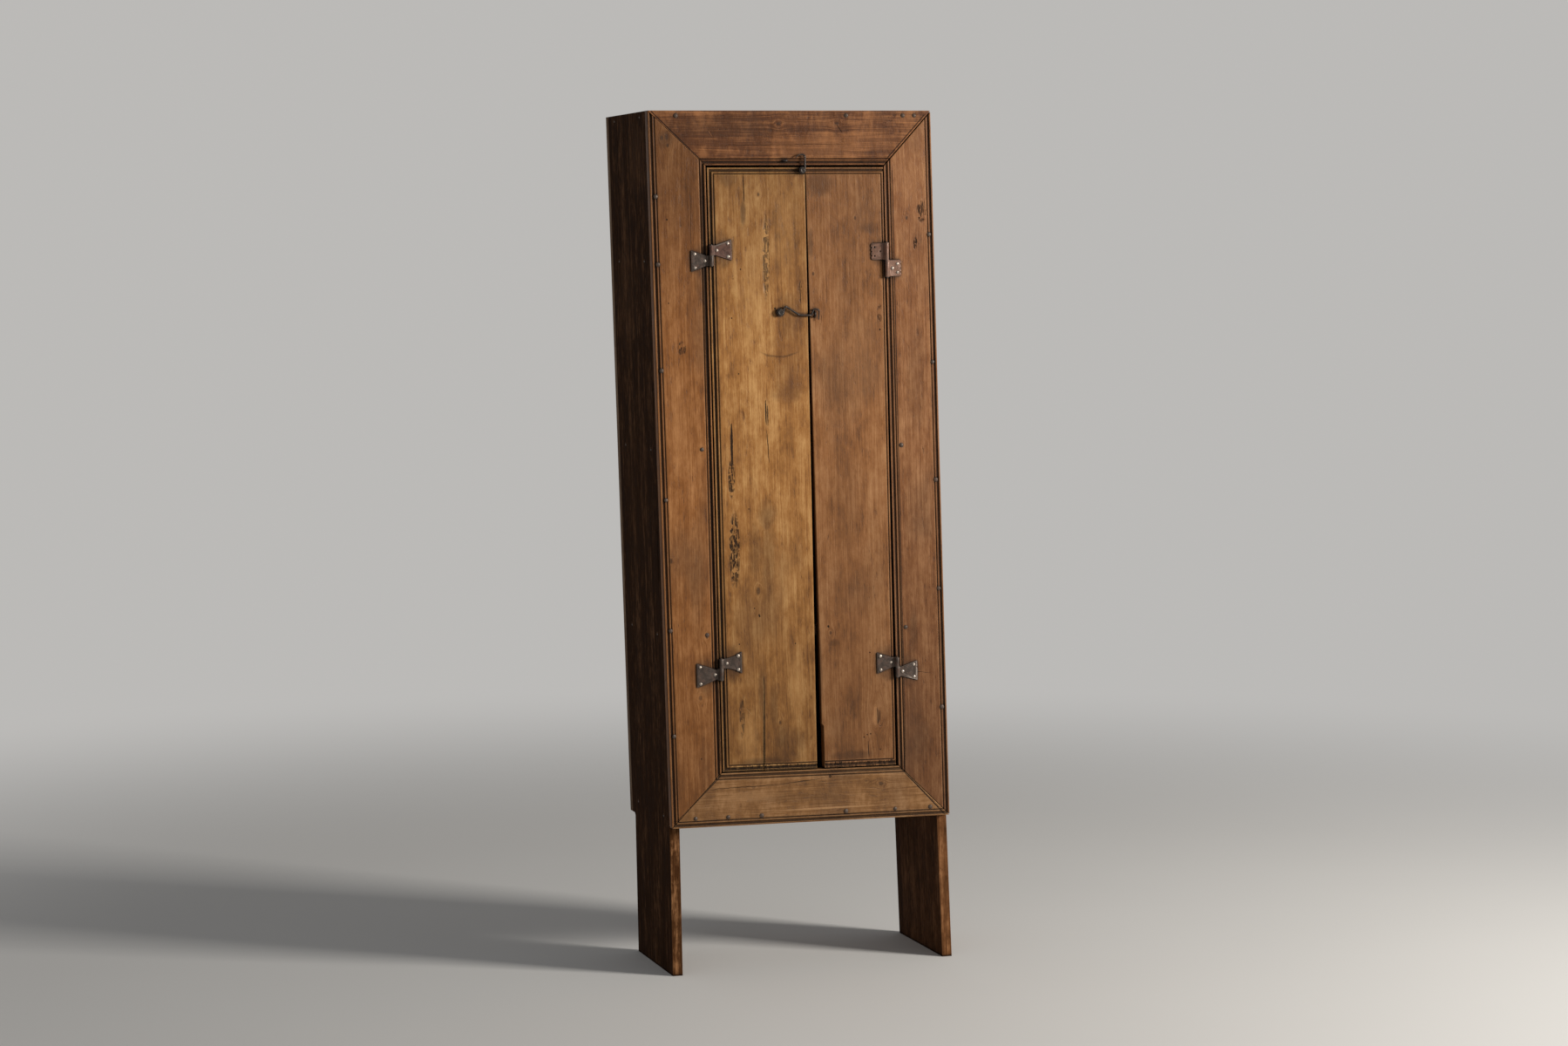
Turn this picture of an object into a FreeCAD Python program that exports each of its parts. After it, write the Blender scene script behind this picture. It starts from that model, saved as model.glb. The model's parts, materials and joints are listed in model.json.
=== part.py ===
"""A tall, narrow cabinet of nailed planks with two hinged doors and iron hooks.

Sizes are in millimetres. Across runs to the viewer's right from the middle of
the upright case, deep runs back from the face of the front frame, and up from
the floor. The case leans a little to its left, so place() moves every point
from the upright case to the leaning one.
"""

import math
import os

import FreeCAD
import Part

# The case.
case_height = 1800.0
case_width = 613.5
top_fall = 5.3
lean_share = 0.0279
side_thick = 21.2
side_depth = 292.6
leg_depth = 270.5
step_height = 303.0
step_chamfer = 5.0
foot_spread = 4.0
back_thick = 22.0
back_seam = 0.3
back_round = 5.0
back_seam_shares = (0.342, 0.655)

# The boards that lie across it. Shares of the case's height give the shelves.
board_thick = 20.0
board_seat = 7.0
bottom_rise = 9.0
shelf_rise_shares = (0.3922, 0.6061, 0.8222)

# The front frame.
frame_thick = 21.4
low_edge_left = 314.3
low_edge_right = 310.4
left_stile_top = 118.7
left_stile_low = 110.0
right_stile_top = 106.5
right_stile_low = 111.7
top_rail_left = 110.3
top_rail_right = 113.1
low_rail_tall = 110.7
mitre_gaps = {"top_left": 1.1, "top_right": 3.5, "low_left": 2.1, "low_right": 2.1}
corner_wear = 5.0

# The moulded edge: fillet, hollow, bead and quirk, from the edge inward.
fillet_wide = 3.0
fillet_deep = 0.5
hollow_wide = 5.0
hollow_deep = 3.0
bead_wide = 4.5
bead_deep = 0.3
quirk_wide = 2.5
quirk_deep = 2.0
overrun = 25.0

# The doors.
door_stop_gap = 0.3
door_top_gap = 5.0
door_low_gap = 3.0
left_door_edge_gap = 3.5
right_door_edge_gap_top = 2.2
right_door_edge_gap_low = 6.0
left_meeting_top = 26.8
left_meeting_low = 13.5
right_meeting_top = 27.5
right_meeting_low = 26.3
meeting_bevel = 3.0
meeting_wear = 1.8
notch_across = 30.8
notch_tall = 91.3
notch_slope = 6.0
split_foot = -104.0
split_wide = 2.2
split_tip = -97.6
split_tall = 202.0

# The hinges.
axis_proud = 6.2
knuckle_radius = 4.4
knuckle_sides = 12
knuckle_gap = 0.3
pin_radius = 2.1
pin_proud = 1.6
pin_clearance = 0.05
leaf_thick = 2.3
web_reach = 7.0
neck_long = 10.0
neck_tall = 20.0
lobe_count = 4
lobe_deep = 2.6
lobe_shares = ((0.25, 1.0), (0.75, 1.0), (1.0, 0.0))
leaf_nail_inset = 7.5
neck_nail_reach = 13.0
left_axis_inset_top = 6.3
left_axis_inset_low = 4.4
right_axis_inset_top = 0.4
right_axis_inset_low = -0.4

# For each hinge: the split between its knuckles as a share of the case's height,
# and how far the upper and the lower knuckle reach from there.
hinge_rise_shares = {
    "top_left": 0.8333,
    "low_left": 0.3583,
    "top_right": 0.8275,
    "low_right": 0.3517,
}
knuckle_reaches = {
    "top_left": (20.6, 21.0),
    "low_left": (20.0, 24.0),
    "top_right": (35.5, 35.5),
    "low_right": (19.6, 21.4),
}
# For each leaf: how far it reaches from the pin, and its height at that end.
leaf_sizes = {
    "top_left_door": (44.4, 42.0),
    "top_left_frame": (42.4, 43.0),
    "low_left_door": (45.2, 44.0),
    "low_left_frame": (52.2, 50.0),
    "low_right_door": (43.6, 44.0),
    "low_right_frame": (45.5, 41.0),
    "top_right_door": (32.8, 33.5),
    "top_right_frame": (31.7, 33.0),
}
curved_leaf_shares = {"low_left_door": 0.45}

# The hooks. Shares of a hook's length give the corners of its shank, across and
# up from its stud, and the radius of each corner's bend.
hook_proud = 6.0
latch_rod = 1.85
latch_eye = 6.5
latch_long = 84.6
latch_stud_across = -38.0
latch_rise_share = 0.7678
latch_shares = (
    (0.112, 0.161, 0.041),
    (0.479, -0.069, 0.165),
    (0.796, -0.080, 0.047),
    (0.865, 0.082, 0.043),
    (1.0, 0.053, 0.047),
    (0.983, -0.189, 0.0),
)
top_rod = 1.8
top_eye = 5.5
top_long = 32.5
top_stud_across = 19.2
top_stud_drop = 10.7
top_shares = (
    (0.175, 1.0, 0.170),
    (-0.237, 0.969, 0.185),
    (-0.449, 0.788, 0.0),
)
rod_sides = 8
eye_sides = 16
eye_opens_share = 0.22
eye_leaves_share = 0.97
stud_clearance = 0.08
stud_head_high = 1.4
stud_head_extra = 1.2
stud_shoulder_extra = 0.9
stud_side_gap = 0.3
stud_sides = 10
stud_dish_share = 0.55
stud_dish_deep = 0.5
stud_sunk = 14.0
staple_rod = 1.8
staple_wide = 9.0
staple_bend = 3.6
staple_proud = 9.0
staple_sunk = 12.0
catch_across = 37.6
catch_drop = 5.0
rail_staple_across = -17.0
rail_staple_rise = 9.0
rail_staple_proud = 6.5

# The nails. Shares give each nail's place along its board.
nail_head_radius = 4.5
nail_crown_share = 0.62
nail_head_high = 2.0
nail_head_sides = 8
nail_shank_half = 1.7
# How much further from the middle a square's corner lies than its side.
square_corner_share = math.sqrt(2)
nail_long = 45.0
leaf_nail_radius = 3.6
leaf_nail_long = 16.0
flush_head_half = 3.2
flush_head_high = 2.2
flush_nail_long = 42.0
left_stile_nail_shares = (0.879, 0.786, 0.640, 0.461, 0.279, 0.131)
right_stile_nail_shares = (0.827, 0.647, 0.480, 0.325, 0.155)
shelf_nail_inset = 23.2
shelf_nail_shelves = (0, 1)
top_rail_nail_shares = (0.096, 0.695, 0.899, 0.940)
low_rail_nail_shares = (0.083, 0.198, 0.317, 0.621, 0.800, 0.929)
side_nail_shares = (0.15, 0.83)
back_nail_shares = (0.22, 0.78)

# Sizes that follow from the ones above.
half_width = case_width / 2
inside_half = half_width - side_thick
case_depth = frame_thick + side_depth + back_thick
boards_back = frame_thick + side_depth
door_thick = frame_thick - door_stop_gap
front_reach = axis_proud + knuckle_radius
face_back = (case_depth - front_reach) / 2
centre_shift = (foot_spread + lean_share * top_fall) / 2
bead_only = fillet_wide + hollow_wide
shelf_levels = [case_height * share for share in shelf_rise_shares]
latch_stud_up = case_height * latch_rise_share
catch_up = latch_stud_up - catch_drop
backward = FreeCAD.Vector(0, 1, 0)
forward = FreeCAD.Vector(0, -1, 0)


def place(across, deep, up):
    """The point of the leaning case that belongs to a point of the upright one."""
    shift = lean_share * (up - case_height / 2) + centre_shift
    return FreeCAD.Vector(across - shift, deep - face_back, up)


def between(first, second, share):
    """The value that lies at a share of the way from the first to the second."""
    return first + (second - first) * share


def width_share(across):
    """The share of the case's width that lies left of a point."""
    return (across + half_width) / case_width


def top_line(across):
    """Height of the top of the case, which falls towards the left."""
    return case_height - top_fall * (1 - width_share(across))


def low_line(across):
    """Height of the lower edge of the front frame."""
    return between(low_edge_left, low_edge_right, width_share(across))


outer = {
    "top_left": (-half_width, top_line(-half_width)),
    "top_right": (half_width, top_line(half_width)),
    "low_left": (-half_width, low_line(-half_width)),
    "low_right": (half_width, low_line(half_width)),
}
inner = {
    "top_left": (left_stile_top - half_width, outer["top_left"][1] - top_rail_left),
    "top_right": (half_width - right_stile_top, outer["top_right"][1] - top_rail_right),
    "low_left": (left_stile_low - half_width, outer["low_left"][1] + low_rail_tall),
    "low_right": (half_width - right_stile_low, outer["low_right"][1] + low_rail_tall),
}


def opening_top(across):
    """Height of the upper edge of the door opening."""
    share = (across - inner["top_left"][0]) / (inner["top_right"][0] - inner["top_left"][0])
    return between(inner["top_left"][1], inner["top_right"][1], share)


def opening_low(across):
    """Height of the lower edge of the door opening."""
    share = (across - inner["low_left"][0]) / (inner["low_right"][0] - inner["low_left"][0])
    return between(inner["low_left"][1], inner["low_right"][1], share)


def opening_side(side, up):
    """Across to the left or the right edge of the door opening at a height."""
    low, top = inner["low_" + side], inner["top_" + side]
    return between(low[0], top[0], (up - low[1]) / (top[1] - low[1]))


top_stud_up = opening_top(top_stud_across) - top_stud_drop
rail_staple_up = opening_top(rail_staple_across) + rail_staple_rise


def moved(point, across, up):
    """A flat point, moved."""
    return (point[0] + across, point[1] + up)


def trace(start, steps, spot):
    """A flat face whose outline runs through steps of one point, or of two for an arc."""
    edges = []
    here = spot(*start)
    for step in steps:
        points = [spot(*point) for point in step]
        if len(points) == 1:
            edges.append(Part.LineSegment(here, points[0]).toShape())
        else:
            edges.append(Part.Arc(here, points[0], points[1]).toShape())
        here = points[-1]
    edges.append(Part.LineSegment(here, spot(*start)).toShape())
    return Part.Face(Part.Wire(edges))


def skin(rings):
    """A solid with flat sides through rings of points; a ring of one point is a tip."""
    faces = []
    for near, far in zip(rings, rings[1:]):
        for corner in range(max(len(near), len(far))):
            ahead = corner + 1
            sides = [near[corner % len(near)], near[ahead % len(near)]]
            if len(near) == 1:
                sides.pop()
            sides.append(far[ahead % len(far)])
            if len(far) > 1:
                sides.append(far[corner])
            faces.append(Part.Face(Part.makePolygon(sides + sides[:1])))
    for ring in (rings[0], rings[-1]):
        if len(ring) > 1:
            faces.append(Part.Face(Part.makePolygon(ring + ring[:1])))
    solid = Part.Solid(Part.Shell(faces))
    if solid.Volume < 0:
        solid.reverse()
    return solid


def slab(outline, front, back):
    """A board with the given outline of flat points, from one depth to another."""
    points = [place(across, front, up) for across, up in outline]
    face = Part.Face(Part.makePolygon(points + points[:1]))
    return face.extrude(backward * (back - front))


def edge_cutter(start, steps, edge_from, edge_to, inside, face_at, into):
    """A cutter whose profile runs along an edge of a board's front or back.

    The profile's points are inward and deep sizes. Inward runs from the edge
    towards the flat point inside, and deep from face_at along into.
    """
    low = place(edge_from[0], face_at, edge_from[1])
    high = place(edge_to[0], face_at, edge_to[1])
    run = (high - low).normalize()
    inward = run.cross(into)
    if inward.dot(place(inside[0], face_at, inside[1]) - low) < 0:
        inward = inward * -1
    origin = low - run * overrun

    def spot(across, deep):
        return origin + inward * across + into * deep

    length = (high - low).Length + overrun * 2
    return trace(start, steps, spot).extrude(run * length)


def moulding(edge_from, edge_to, inside, skip):
    """The cutter of a moulded edge, whose first part of width skip is left out."""
    hollow_at = fillet_wide - skip
    bead_at = hollow_at + hollow_wide
    quirk_at = bead_at + bead_wide
    field_at = quirk_at + quirk_wide
    steps = [
        ((hollow_at, fillet_deep),),
        ((hollow_at + hollow_wide / 2, hollow_deep), (bead_at, quirk_deep)),
        ((bead_at + bead_wide / 2, bead_deep), (quirk_at, quirk_deep)),
        ((field_at, 0),),
        ((field_at, -overrun),),
        ((-overrun, -overrun),),
        ((-overrun, fillet_deep),),
    ]
    return edge_cutter((-skip, fillet_deep), steps, edge_from, edge_to, inside, 0, backward)


def worn_edge(edge_from, edge_to, inside, radius, face_at, into):
    """The cutter that rounds one long edge of a board."""
    middle = radius * (1 - 1 / square_corner_share)
    steps = [
        ((middle, middle), (0, radius)),
        ((-overrun, radius),),
        ((-overrun, -overrun),),
        ((radius, -overrun),),
    ]
    return edge_cutter((radius, 0), steps, edge_from, edge_to, inside, face_at, into)


def along(first, second):
    """The way of length one from one flat point of the case towards another."""
    return (place(second[0], 0, second[1]) - place(first[0], 0, first[1])).normalize()


def mitred(cutter, low, high, way_low, way_high):
    """The part of an edge's cutter that lies between the mitres at its two ends."""
    points = [low - way_low, high - way_high, high + way_high, low + way_low]
    points = [point + forward * overrun for point in points]
    face = Part.Face(Part.makePolygon(points + points[:1]))
    return cutter.common(face.extrude(backward * overrun * 2))


# The case's boards.
def cross_board(under, seat):
    """A board across the case; under gives the height of its lower face."""
    reach = inside_half + seat
    outline = [
        (-reach, under(-reach)),
        (reach, under(reach)),
        (reach, under(reach) + board_thick),
        (-reach, under(-reach) + board_thick),
    ]
    return slab(outline, frame_thick, boards_back)


def make_boards():
    """The top, the bottom and the shelves, by name."""
    boards = {
        "top_board": cross_board(lambda across: top_line(across) - board_thick, board_seat),
        "bottom_board": cross_board(lambda across: low_line(across) + bottom_rise, board_seat),
    }
    for number, level in enumerate(shelf_levels, 1):
        boards["shelf_%d" % number] = cross_board(lambda across: level, board_seat)
    return boards


def side_board(side, boards):
    """One side, which runs to the floor and spreads a little at its foot."""
    outside = side * half_width
    inside = side * inside_half
    kink = low_line(outside)
    outline = [
        (outside + side * foot_spread, 0),
        (outside, kink),
        (outside, top_line(outside)),
        (inside, top_line(inside)),
        (inside, kink),
        (inside + side * foot_spread, 0),
    ]
    board = slab(outline, frame_thick, boards_back)
    for shape in boards.values():
        board = board.cut(shape)
    leg_back = frame_thick + leg_depth
    notch = [
        (leg_back, -overrun),
        (leg_back, step_height - step_chamfer),
        (leg_back + step_chamfer, step_height),
        (boards_back + overrun, step_height),
        (boards_back + overrun, -overrun),
    ]
    points = [FreeCAD.Vector(-case_width, deep - face_back, up) for deep, up in notch]
    face = Part.Face(Part.makePolygon(points + points[:1]))
    return board.cut(face.extrude(FreeCAD.Vector(case_width * 2, 0, 0)))


def back_planks():
    """The upright planks of the back, edge to edge."""
    seams = [between(-half_width, half_width, share) for share in back_seam_shares]
    starts = [-half_width] + [seam + back_seam / 2 for seam in seams]
    ends = [seam - back_seam / 2 for seam in seams] + [half_width]
    planks = {}
    for number, (left, right) in enumerate(zip(starts, ends), 1):
        outline = [
            (left, step_height),
            (right, step_height),
            (right, top_line(right)),
            (left, top_line(left)),
        ]
        planks["back_plank_%d" % number] = slab(outline, boards_back, case_depth)
    last = "back_plank_%d" % len(starts)
    for name, side in (("back_plank_1", -1), (last, 1)):
        low = (side * half_width, step_height)
        high = (side * half_width, case_height)
        rounding = worn_edge(low, high, (0, case_height / 2), back_round, case_depth, forward)
        planks[name] = planks[name].cut(rounding)
    return planks


# The front frame.
def frame_parts():
    """The rails and the stiles, mitred at the corners and moulded on their edges."""
    middle = (0, case_height / 2)
    tops = ("top_left", "top_right")
    lows = ("low_left", "low_right")
    top_rail = slab([outer[tops[0]], outer[tops[1]], inner[tops[1]], inner[tops[0]]], 0, frame_thick)
    top_rail = top_rail.cut(moulding(inner[tops[0]], inner[tops[1]], outer[tops[0]], 0))
    worn = outer[tops[1]]
    chip = [
        moved(worn, -corner_wear, 0),
        moved(worn, overrun, -corner_wear),
        moved(worn, overrun, overrun),
        moved(worn, -corner_wear, overrun),
    ]
    top_rail = top_rail.cut(slab(chip, -overrun, frame_thick / 2))
    low_rail = slab([outer[lows[0]], outer[lows[1]], inner[lows[1]], inner[lows[0]]], 0, frame_thick)
    low_rail = low_rail.cut(moulding(inner[lows[0]], inner[lows[1]], outer[lows[0]], 0))
    low_rail = low_rail.cut(moulding(outer[lows[0]], outer[lows[1]], middle, 0))
    parts = {"top_rail": top_rail, "bottom_rail": low_rail}
    for side in ("left", "right"):
        top, low = "top_" + side, "low_" + side
        outline = [
            moved(outer[low], 0, mitre_gaps[low]),
            moved(inner[low], 0, mitre_gaps[low]),
            moved(inner[top], 0, -mitre_gaps[top]),
            moved(outer[top], 0, -mitre_gaps[top]),
        ]
        stile = slab(outline, 0, frame_thick)
        stile = stile.cut(moulding(inner[low], inner[top], outer[low], 0))
        stile = stile.cut(moulding(outer[low], outer[top], middle, 0))
        parts[side + "_stile"] = stile
    return parts


# The doors.
def door_corners(side):
    """The door's corners from the hinge's foot round by the meeting edge, by name."""
    if side == "left":
        hinge_top = inner["top_left"][0] + left_door_edge_gap
        hinge_low = inner["low_left"][0] + left_door_edge_gap
        meeting_top, meeting_low = left_meeting_top, left_meeting_low
    else:
        hinge_top = inner["top_right"][0] - right_door_edge_gap_top
        hinge_low = inner["low_right"][0] - right_door_edge_gap_low
        meeting_top, meeting_low = right_meeting_top, right_meeting_low
    return {
        "hinge_low": (hinge_low, opening_low(hinge_low) + door_low_gap),
        "hinge_top": (hinge_top, opening_top(hinge_top) - door_top_gap),
        "meeting_top": (meeting_top, opening_top(meeting_top) - door_top_gap),
        "meeting_low": (meeting_low, opening_low(meeting_low) + door_low_gap),
    }


def door_plank(side):
    """One door: a single plank, moulded on its edges and bevelled where the doors meet."""
    corners = door_corners(side)
    hinge_low, hinge_top = corners["hinge_low"], corners["hinge_top"]
    meeting_low, meeting_top = corners["meeting_low"], corners["meeting_top"]
    middle = (between(hinge_low[0], meeting_low[0], 1 / 2), case_height / 2)
    hinge_skip = 0 if side == "left" else bead_only
    door = slab([hinge_low, hinge_top, meeting_top, meeting_low], 0, door_thick)
    bevel = [
        ((-overrun, 0),),
        ((-overrun, -overrun),),
        ((meeting_bevel + overrun * meeting_bevel / door_thick, -overrun),),
    ]
    door = door.cut(
        edge_cutter((0, door_thick), bevel, meeting_low, meeting_top, middle, door_thick, forward)
    )
    # A moulding that leaves out its outer part mitres as if the edge lay further out.
    up_way = along(hinge_low, hinge_top)
    low_way = along(meeting_low, hinge_low)
    top_way = along(meeting_top, hinge_top)
    low_shift = hinge_skip / low_way.cross(up_way).Length
    top_shift = hinge_skip / top_way.cross(up_way).Length
    foot = place(hinge_low[0], 0, hinge_low[1]) + low_way * low_shift
    head = place(hinge_top[0], 0, hinge_top[1]) + top_way * top_shift
    foot_mitre = (up_way - low_way) * overrun
    head_mitre = (up_way + top_way) * -overrun
    past_low = place(meeting_low[0], 0, meeting_low[1]) - low_way * overrun
    past_top = place(meeting_top[0], 0, meeting_top[1]) - top_way * overrun
    meeting_way = along(meeting_low, meeting_top) * overrun
    hinge_edge = moulding(hinge_low, hinge_top, middle, hinge_skip)
    top_edge = moulding(hinge_top, meeting_top, middle, 0)
    low_edge = moulding(hinge_low, meeting_low, middle, 0)
    door = door.cut(mitred(hinge_edge, foot, head, foot_mitre, head_mitre))
    door = door.cut(mitred(top_edge, head, past_top, head_mitre, meeting_way * -1))
    door = door.cut(mitred(low_edge, foot, past_low, foot_mitre, meeting_way))
    return door.cut(worn_edge(meeting_low, meeting_top, middle, meeting_wear, 0, backward))


def left_door_plank():
    """The left door, with the split that rises from its foot."""
    low = opening_low(split_foot)
    split = [
        (split_foot - split_wide / 2, low),
        (split_foot + split_wide / 2, low),
        (split_tip, low + split_tall),
    ]
    return door_plank("left").cut(slab(split, -overrun, frame_thick + overrun))


def right_door_plank():
    """The right door, cut back a little at the foot of its meeting edge."""
    low = opening_low(notch_across)
    notch_up = low + notch_tall
    cut_back = [
        (left_meeting_low, low - overrun),
        (notch_across, low - overrun),
        (notch_across, notch_up),
        (right_meeting_low, notch_up + notch_slope),
        (left_meeting_low, notch_up + notch_slope),
    ]
    return door_plank("right").cut(slab(cut_back, -overrun, frame_thick + overrun))


# The hinges.
class HingeLine:
    """The line that one door turns on, with sizes measured from it."""

    def __init__(self, side):
        high = case_height * hinge_rise_shares["top_" + side]
        low = case_height * hinge_rise_shares["low_" + side]
        if side == "left":
            high_across = opening_side(side, high) + left_axis_inset_top
            low_across = opening_side(side, low) + left_axis_inset_low
        else:
            high_across = opening_side(side, high) - right_axis_inset_top
            low_across = opening_side(side, low) - right_axis_inset_low
        self.low_up = low
        self.low_point = place(low_across, -axis_proud, low)
        self.way = (place(high_across, -axis_proud, high) - self.low_point).normalize()
        self.right = backward.cross(self.way)

    def spot(self, away, deep, up):
        """A point so far right of the line, so deep from the frame's face and so high."""
        climb = (up - self.low_up) / self.way.z
        return self.low_point + self.way * climb + self.right * away + backward * (deep + axis_proud)

    def ring(self, up):
        """The corners of a knuckle about the line at a height."""
        centre = self.spot(0, -axis_proud, up)
        outward = self.way.cross(self.right)
        corners = []
        for number in range(knuckle_sides):
            angle = 2 * math.pi * number / knuckle_sides
            across = self.right * (knuckle_radius * math.cos(angle))
            corners.append(centre + across + outward * (knuckle_radius * math.sin(angle)))
        return corners


def knuckle(line, low, high, bore):
    """One knuckle's barrel and the solid that bores it."""
    foot = line.spot(0, -axis_proud, low - overrun)
    head = line.spot(0, -axis_proud, high + overrun)
    hole = Part.makeCylinder(bore, (head - foot).Length, foot, line.way)
    return skin([line.ring(low), line.ring(high)]), hole


def leaf_web(line, way, low, high):
    """The bend of the leaf from the wood's face up to its knuckle."""
    turn = 2 * math.pi / knuckle_sides
    section = [
        (0, 0),
        (0, -axis_proud),
        (way * knuckle_radius * math.cos(turn), -axis_proud - knuckle_radius * math.sin(turn)),
        (way * knuckle_radius, -axis_proud),
        (way * web_reach, -leaf_thick),
        (way * web_reach, 0),
    ]
    points = [line.spot(away, deep, low) for away, deep in section]
    face = Part.Face(Part.makePolygon(points + points[:1]))
    return face.extrude(line.spot(0, 0, high) - line.spot(0, 0, low))


def flared_outline(way, middle, reach, tall):
    """The outline of a dovetail leaf as a start and steps of away and up sizes."""
    neck_low, neck_high = middle - neck_tall / 2, middle + neck_tall / 2
    end_low, end_high = middle - tall / 2, middle + tall / 2
    neck_out, out = way * neck_long, way * reach
    steps = [((0, neck_high),), ((neck_out, neck_high),), ((out, end_high),), ((out, end_low),)]
    steps.append(((neck_out, neck_low),))
    return (0, neck_low), steps


def curved_outline(way, middle, reach, tall, share):
    """As a dovetail leaf, with its flared sides drawn in by a share of their rise."""
    start, steps = flared_outline(way, middle, reach, tall)
    half_out = way * between(neck_long, reach, 1 / 2)
    rise = (tall - neck_tall) / 2 * (1 - share) / 2
    steps[2] = ((half_out, middle + neck_tall / 2 + rise),) + steps[2]
    steps[4] = ((half_out, middle - neck_tall / 2 - rise),) + steps[4]
    return start, steps


def lobed_outline(way, middle, reach, tall):
    """The outline of a straight leaf whose outer end is a row of lobes."""
    low, high = middle - tall / 2, middle + tall / 2
    root = reach - lobe_deep
    steps = [((0, high),), ((way * root, high),)]
    for number in range(lobe_count):
        for down_share, out_share in lobe_shares:
            up = between(high, low, (number + down_share) / lobe_count)
            steps.append(((way * between(root, reach, out_share), up),))
    return (0, low), steps


def leaf_outline(name, way, middle):
    """The outline of one leaf, chosen by its name."""
    reach, tall = leaf_sizes[name]
    if name.startswith("top_right"):
        return lobed_outline(way, middle, reach, tall)
    if name in curved_leaf_shares:
        return curved_outline(way, middle, reach, tall, curved_leaf_shares[name])
    return flared_outline(way, middle, reach, tall)


def leaf_nail_spots(line, name, way, middle):
    """Where the three nails of a leaf stand: two at its outer corners, one at its neck."""
    reach, tall = leaf_sizes[name]
    out = way * (reach - leaf_nail_inset)
    spread = tall / 2 - leaf_nail_inset
    flat = [(out, middle + spread), (out, middle - spread), (way * neck_nail_reach, middle)]
    return [line.spot(away, -leaf_thick, up) for away, up in flat]


def leaf(line, way, low, high, bore, outline):
    """One leaf with its knuckle, from a flat outline in away and up sizes."""
    barrel, hole = knuckle(line, low, high, bore)
    plate = trace(outline[0], outline[1], lambda away, up: line.spot(away, 0, up))
    plate = plate.extrude(forward * leaf_thick)
    shape = plate.fuse(leaf_web(line, way, low, high)).fuse(barrel)
    return shape.cut(hole).removeSplitter()


def pin(line, low, high):
    """A hinge pin that stands a little proud of its knuckles."""
    foot = line.spot(0, -axis_proud, low - pin_proud)
    head = line.spot(0, -axis_proud, high + pin_proud)
    return Part.makeCylinder(pin_radius, (head - foot).Length, foot, line.way)


def square_holes(spots):
    """Square holes, as nails leave them."""
    corner = nail_shank_half * square_corner_share
    hole = skin([ring_of(4, corner, -overrun), ring_of(4, corner, overrun)])
    return driven(hole, spots, backward)


def make_hinges():
    """All leaves and pins by name, and the nail places of each body."""
    parts = {}
    nail_spots = {"frame": [], "left": [], "right": []}
    for place_name, (upper, lower) in knuckle_reaches.items():
        level = case_height * hinge_rise_shares[place_name]
        side = place_name.split("_")[1]
        line = HingeLine(side)
        door_way = 1 if side == "left" else -1
        parts["hinge_%s_pin" % place_name] = pin(line, level - lower, level + upper)
        spans = {
            "door": (door_way, level + knuckle_gap / 2, level + upper, pin_clearance),
            "frame": (-door_way, level - lower, level - knuckle_gap / 2, 0),
        }
        for half, (way, low, high, clearance) in spans.items():
            name = "%s_%s" % (place_name, half)
            middle = between(low, high, 1 / 2)
            outline = leaf_outline(name, way, middle)
            shape = leaf(line, way, low, high, pin_radius + clearance, outline)
            spots = leaf_nail_spots(line, name, way, middle)
            if name == "top_right_door":
                shape = shape.cut(square_holes(spots))
            else:
                nail_spots["frame" if half == "frame" else side].extend(spots)
            parts["hinge_%s_leaf" % name] = shape
    return parts, nail_spots


# The hooks.
def bent_path(corners, bends):
    """The points of a flat path, with each inner corner rounded in even steps."""
    points = [corners[0]]
    for number in range(1, len(corners) - 1):
        corner = corners[number]
        arrive = (corner - corners[number - 1]).normalize()
        leave = (corners[number + 1] - corner).normalize()
        turn = arrive.getAngle(leave)
        bend = bends[number]
        start = corner - arrive * (bend * math.tan(turn / 2))
        outward = arrive.cross(leave).normalize().cross(arrive)
        centre = start + outward * bend
        steps = max(1, round(turn * eye_sides / (2 * math.pi)))
        for step in range(steps + 1):
            angle = turn * step / steps
            points.append(centre - outward * (bend * math.cos(angle)) + arrive * (bend * math.sin(angle)))
    return points + [corners[-1]]


def rod_along(points, normal, rod):
    """A rod with flat sides along a flat path, mitred at every point."""
    rings = []
    last = len(points) - 1
    for number, point in enumerate(points):
        arrive = (point - points[max(number - 1, 0)]) if number else (points[1] - point)
        leave = (points[number + 1] - point) if number < last else (point - points[last - 1])
        leave = leave.normalize()
        mitre = (arrive.normalize() + leave).normalize()
        side = normal.cross(mitre) * (1 / mitre.dot(leave))
        ring = []
        for corner in range(rod_sides):
            angle = 2 * math.pi * (corner + 1 / 2) / rod_sides
            ring.append(point + normal * (rod * math.sin(angle)) + side * (rod * math.cos(angle)))
        rings.append(ring)
    return skin(rings)


def hook(across, up, eye, rod, long, shares):
    """A hook of one rod: curled into an eye about its stud, then bent to its point."""
    centre = place(across, -hook_proud, up)
    right, high = FreeCAD.Vector(1, 0, 0), FreeCAD.Vector(0, 0, 1)
    eye_points = []
    steps = round(eye_sides * (eye_leaves_share - eye_opens_share))
    for step in range(steps + 1):
        angle = 2 * math.pi * between(eye_opens_share, eye_leaves_share, step / steps)
        eye_points.append(centre + right * (eye * math.cos(angle)) + high * (eye * math.sin(angle)))
    corners = eye_points[-1:]
    bends = [0]
    for across_share, up_share, bend_share in shares:
        corners.append(centre + right * (long * across_share) + high * (long * up_share))
        bends.append(long * bend_share)
    return rod_along(eye_points[:-1] + bent_path(corners, bends), backward, rod)


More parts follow.
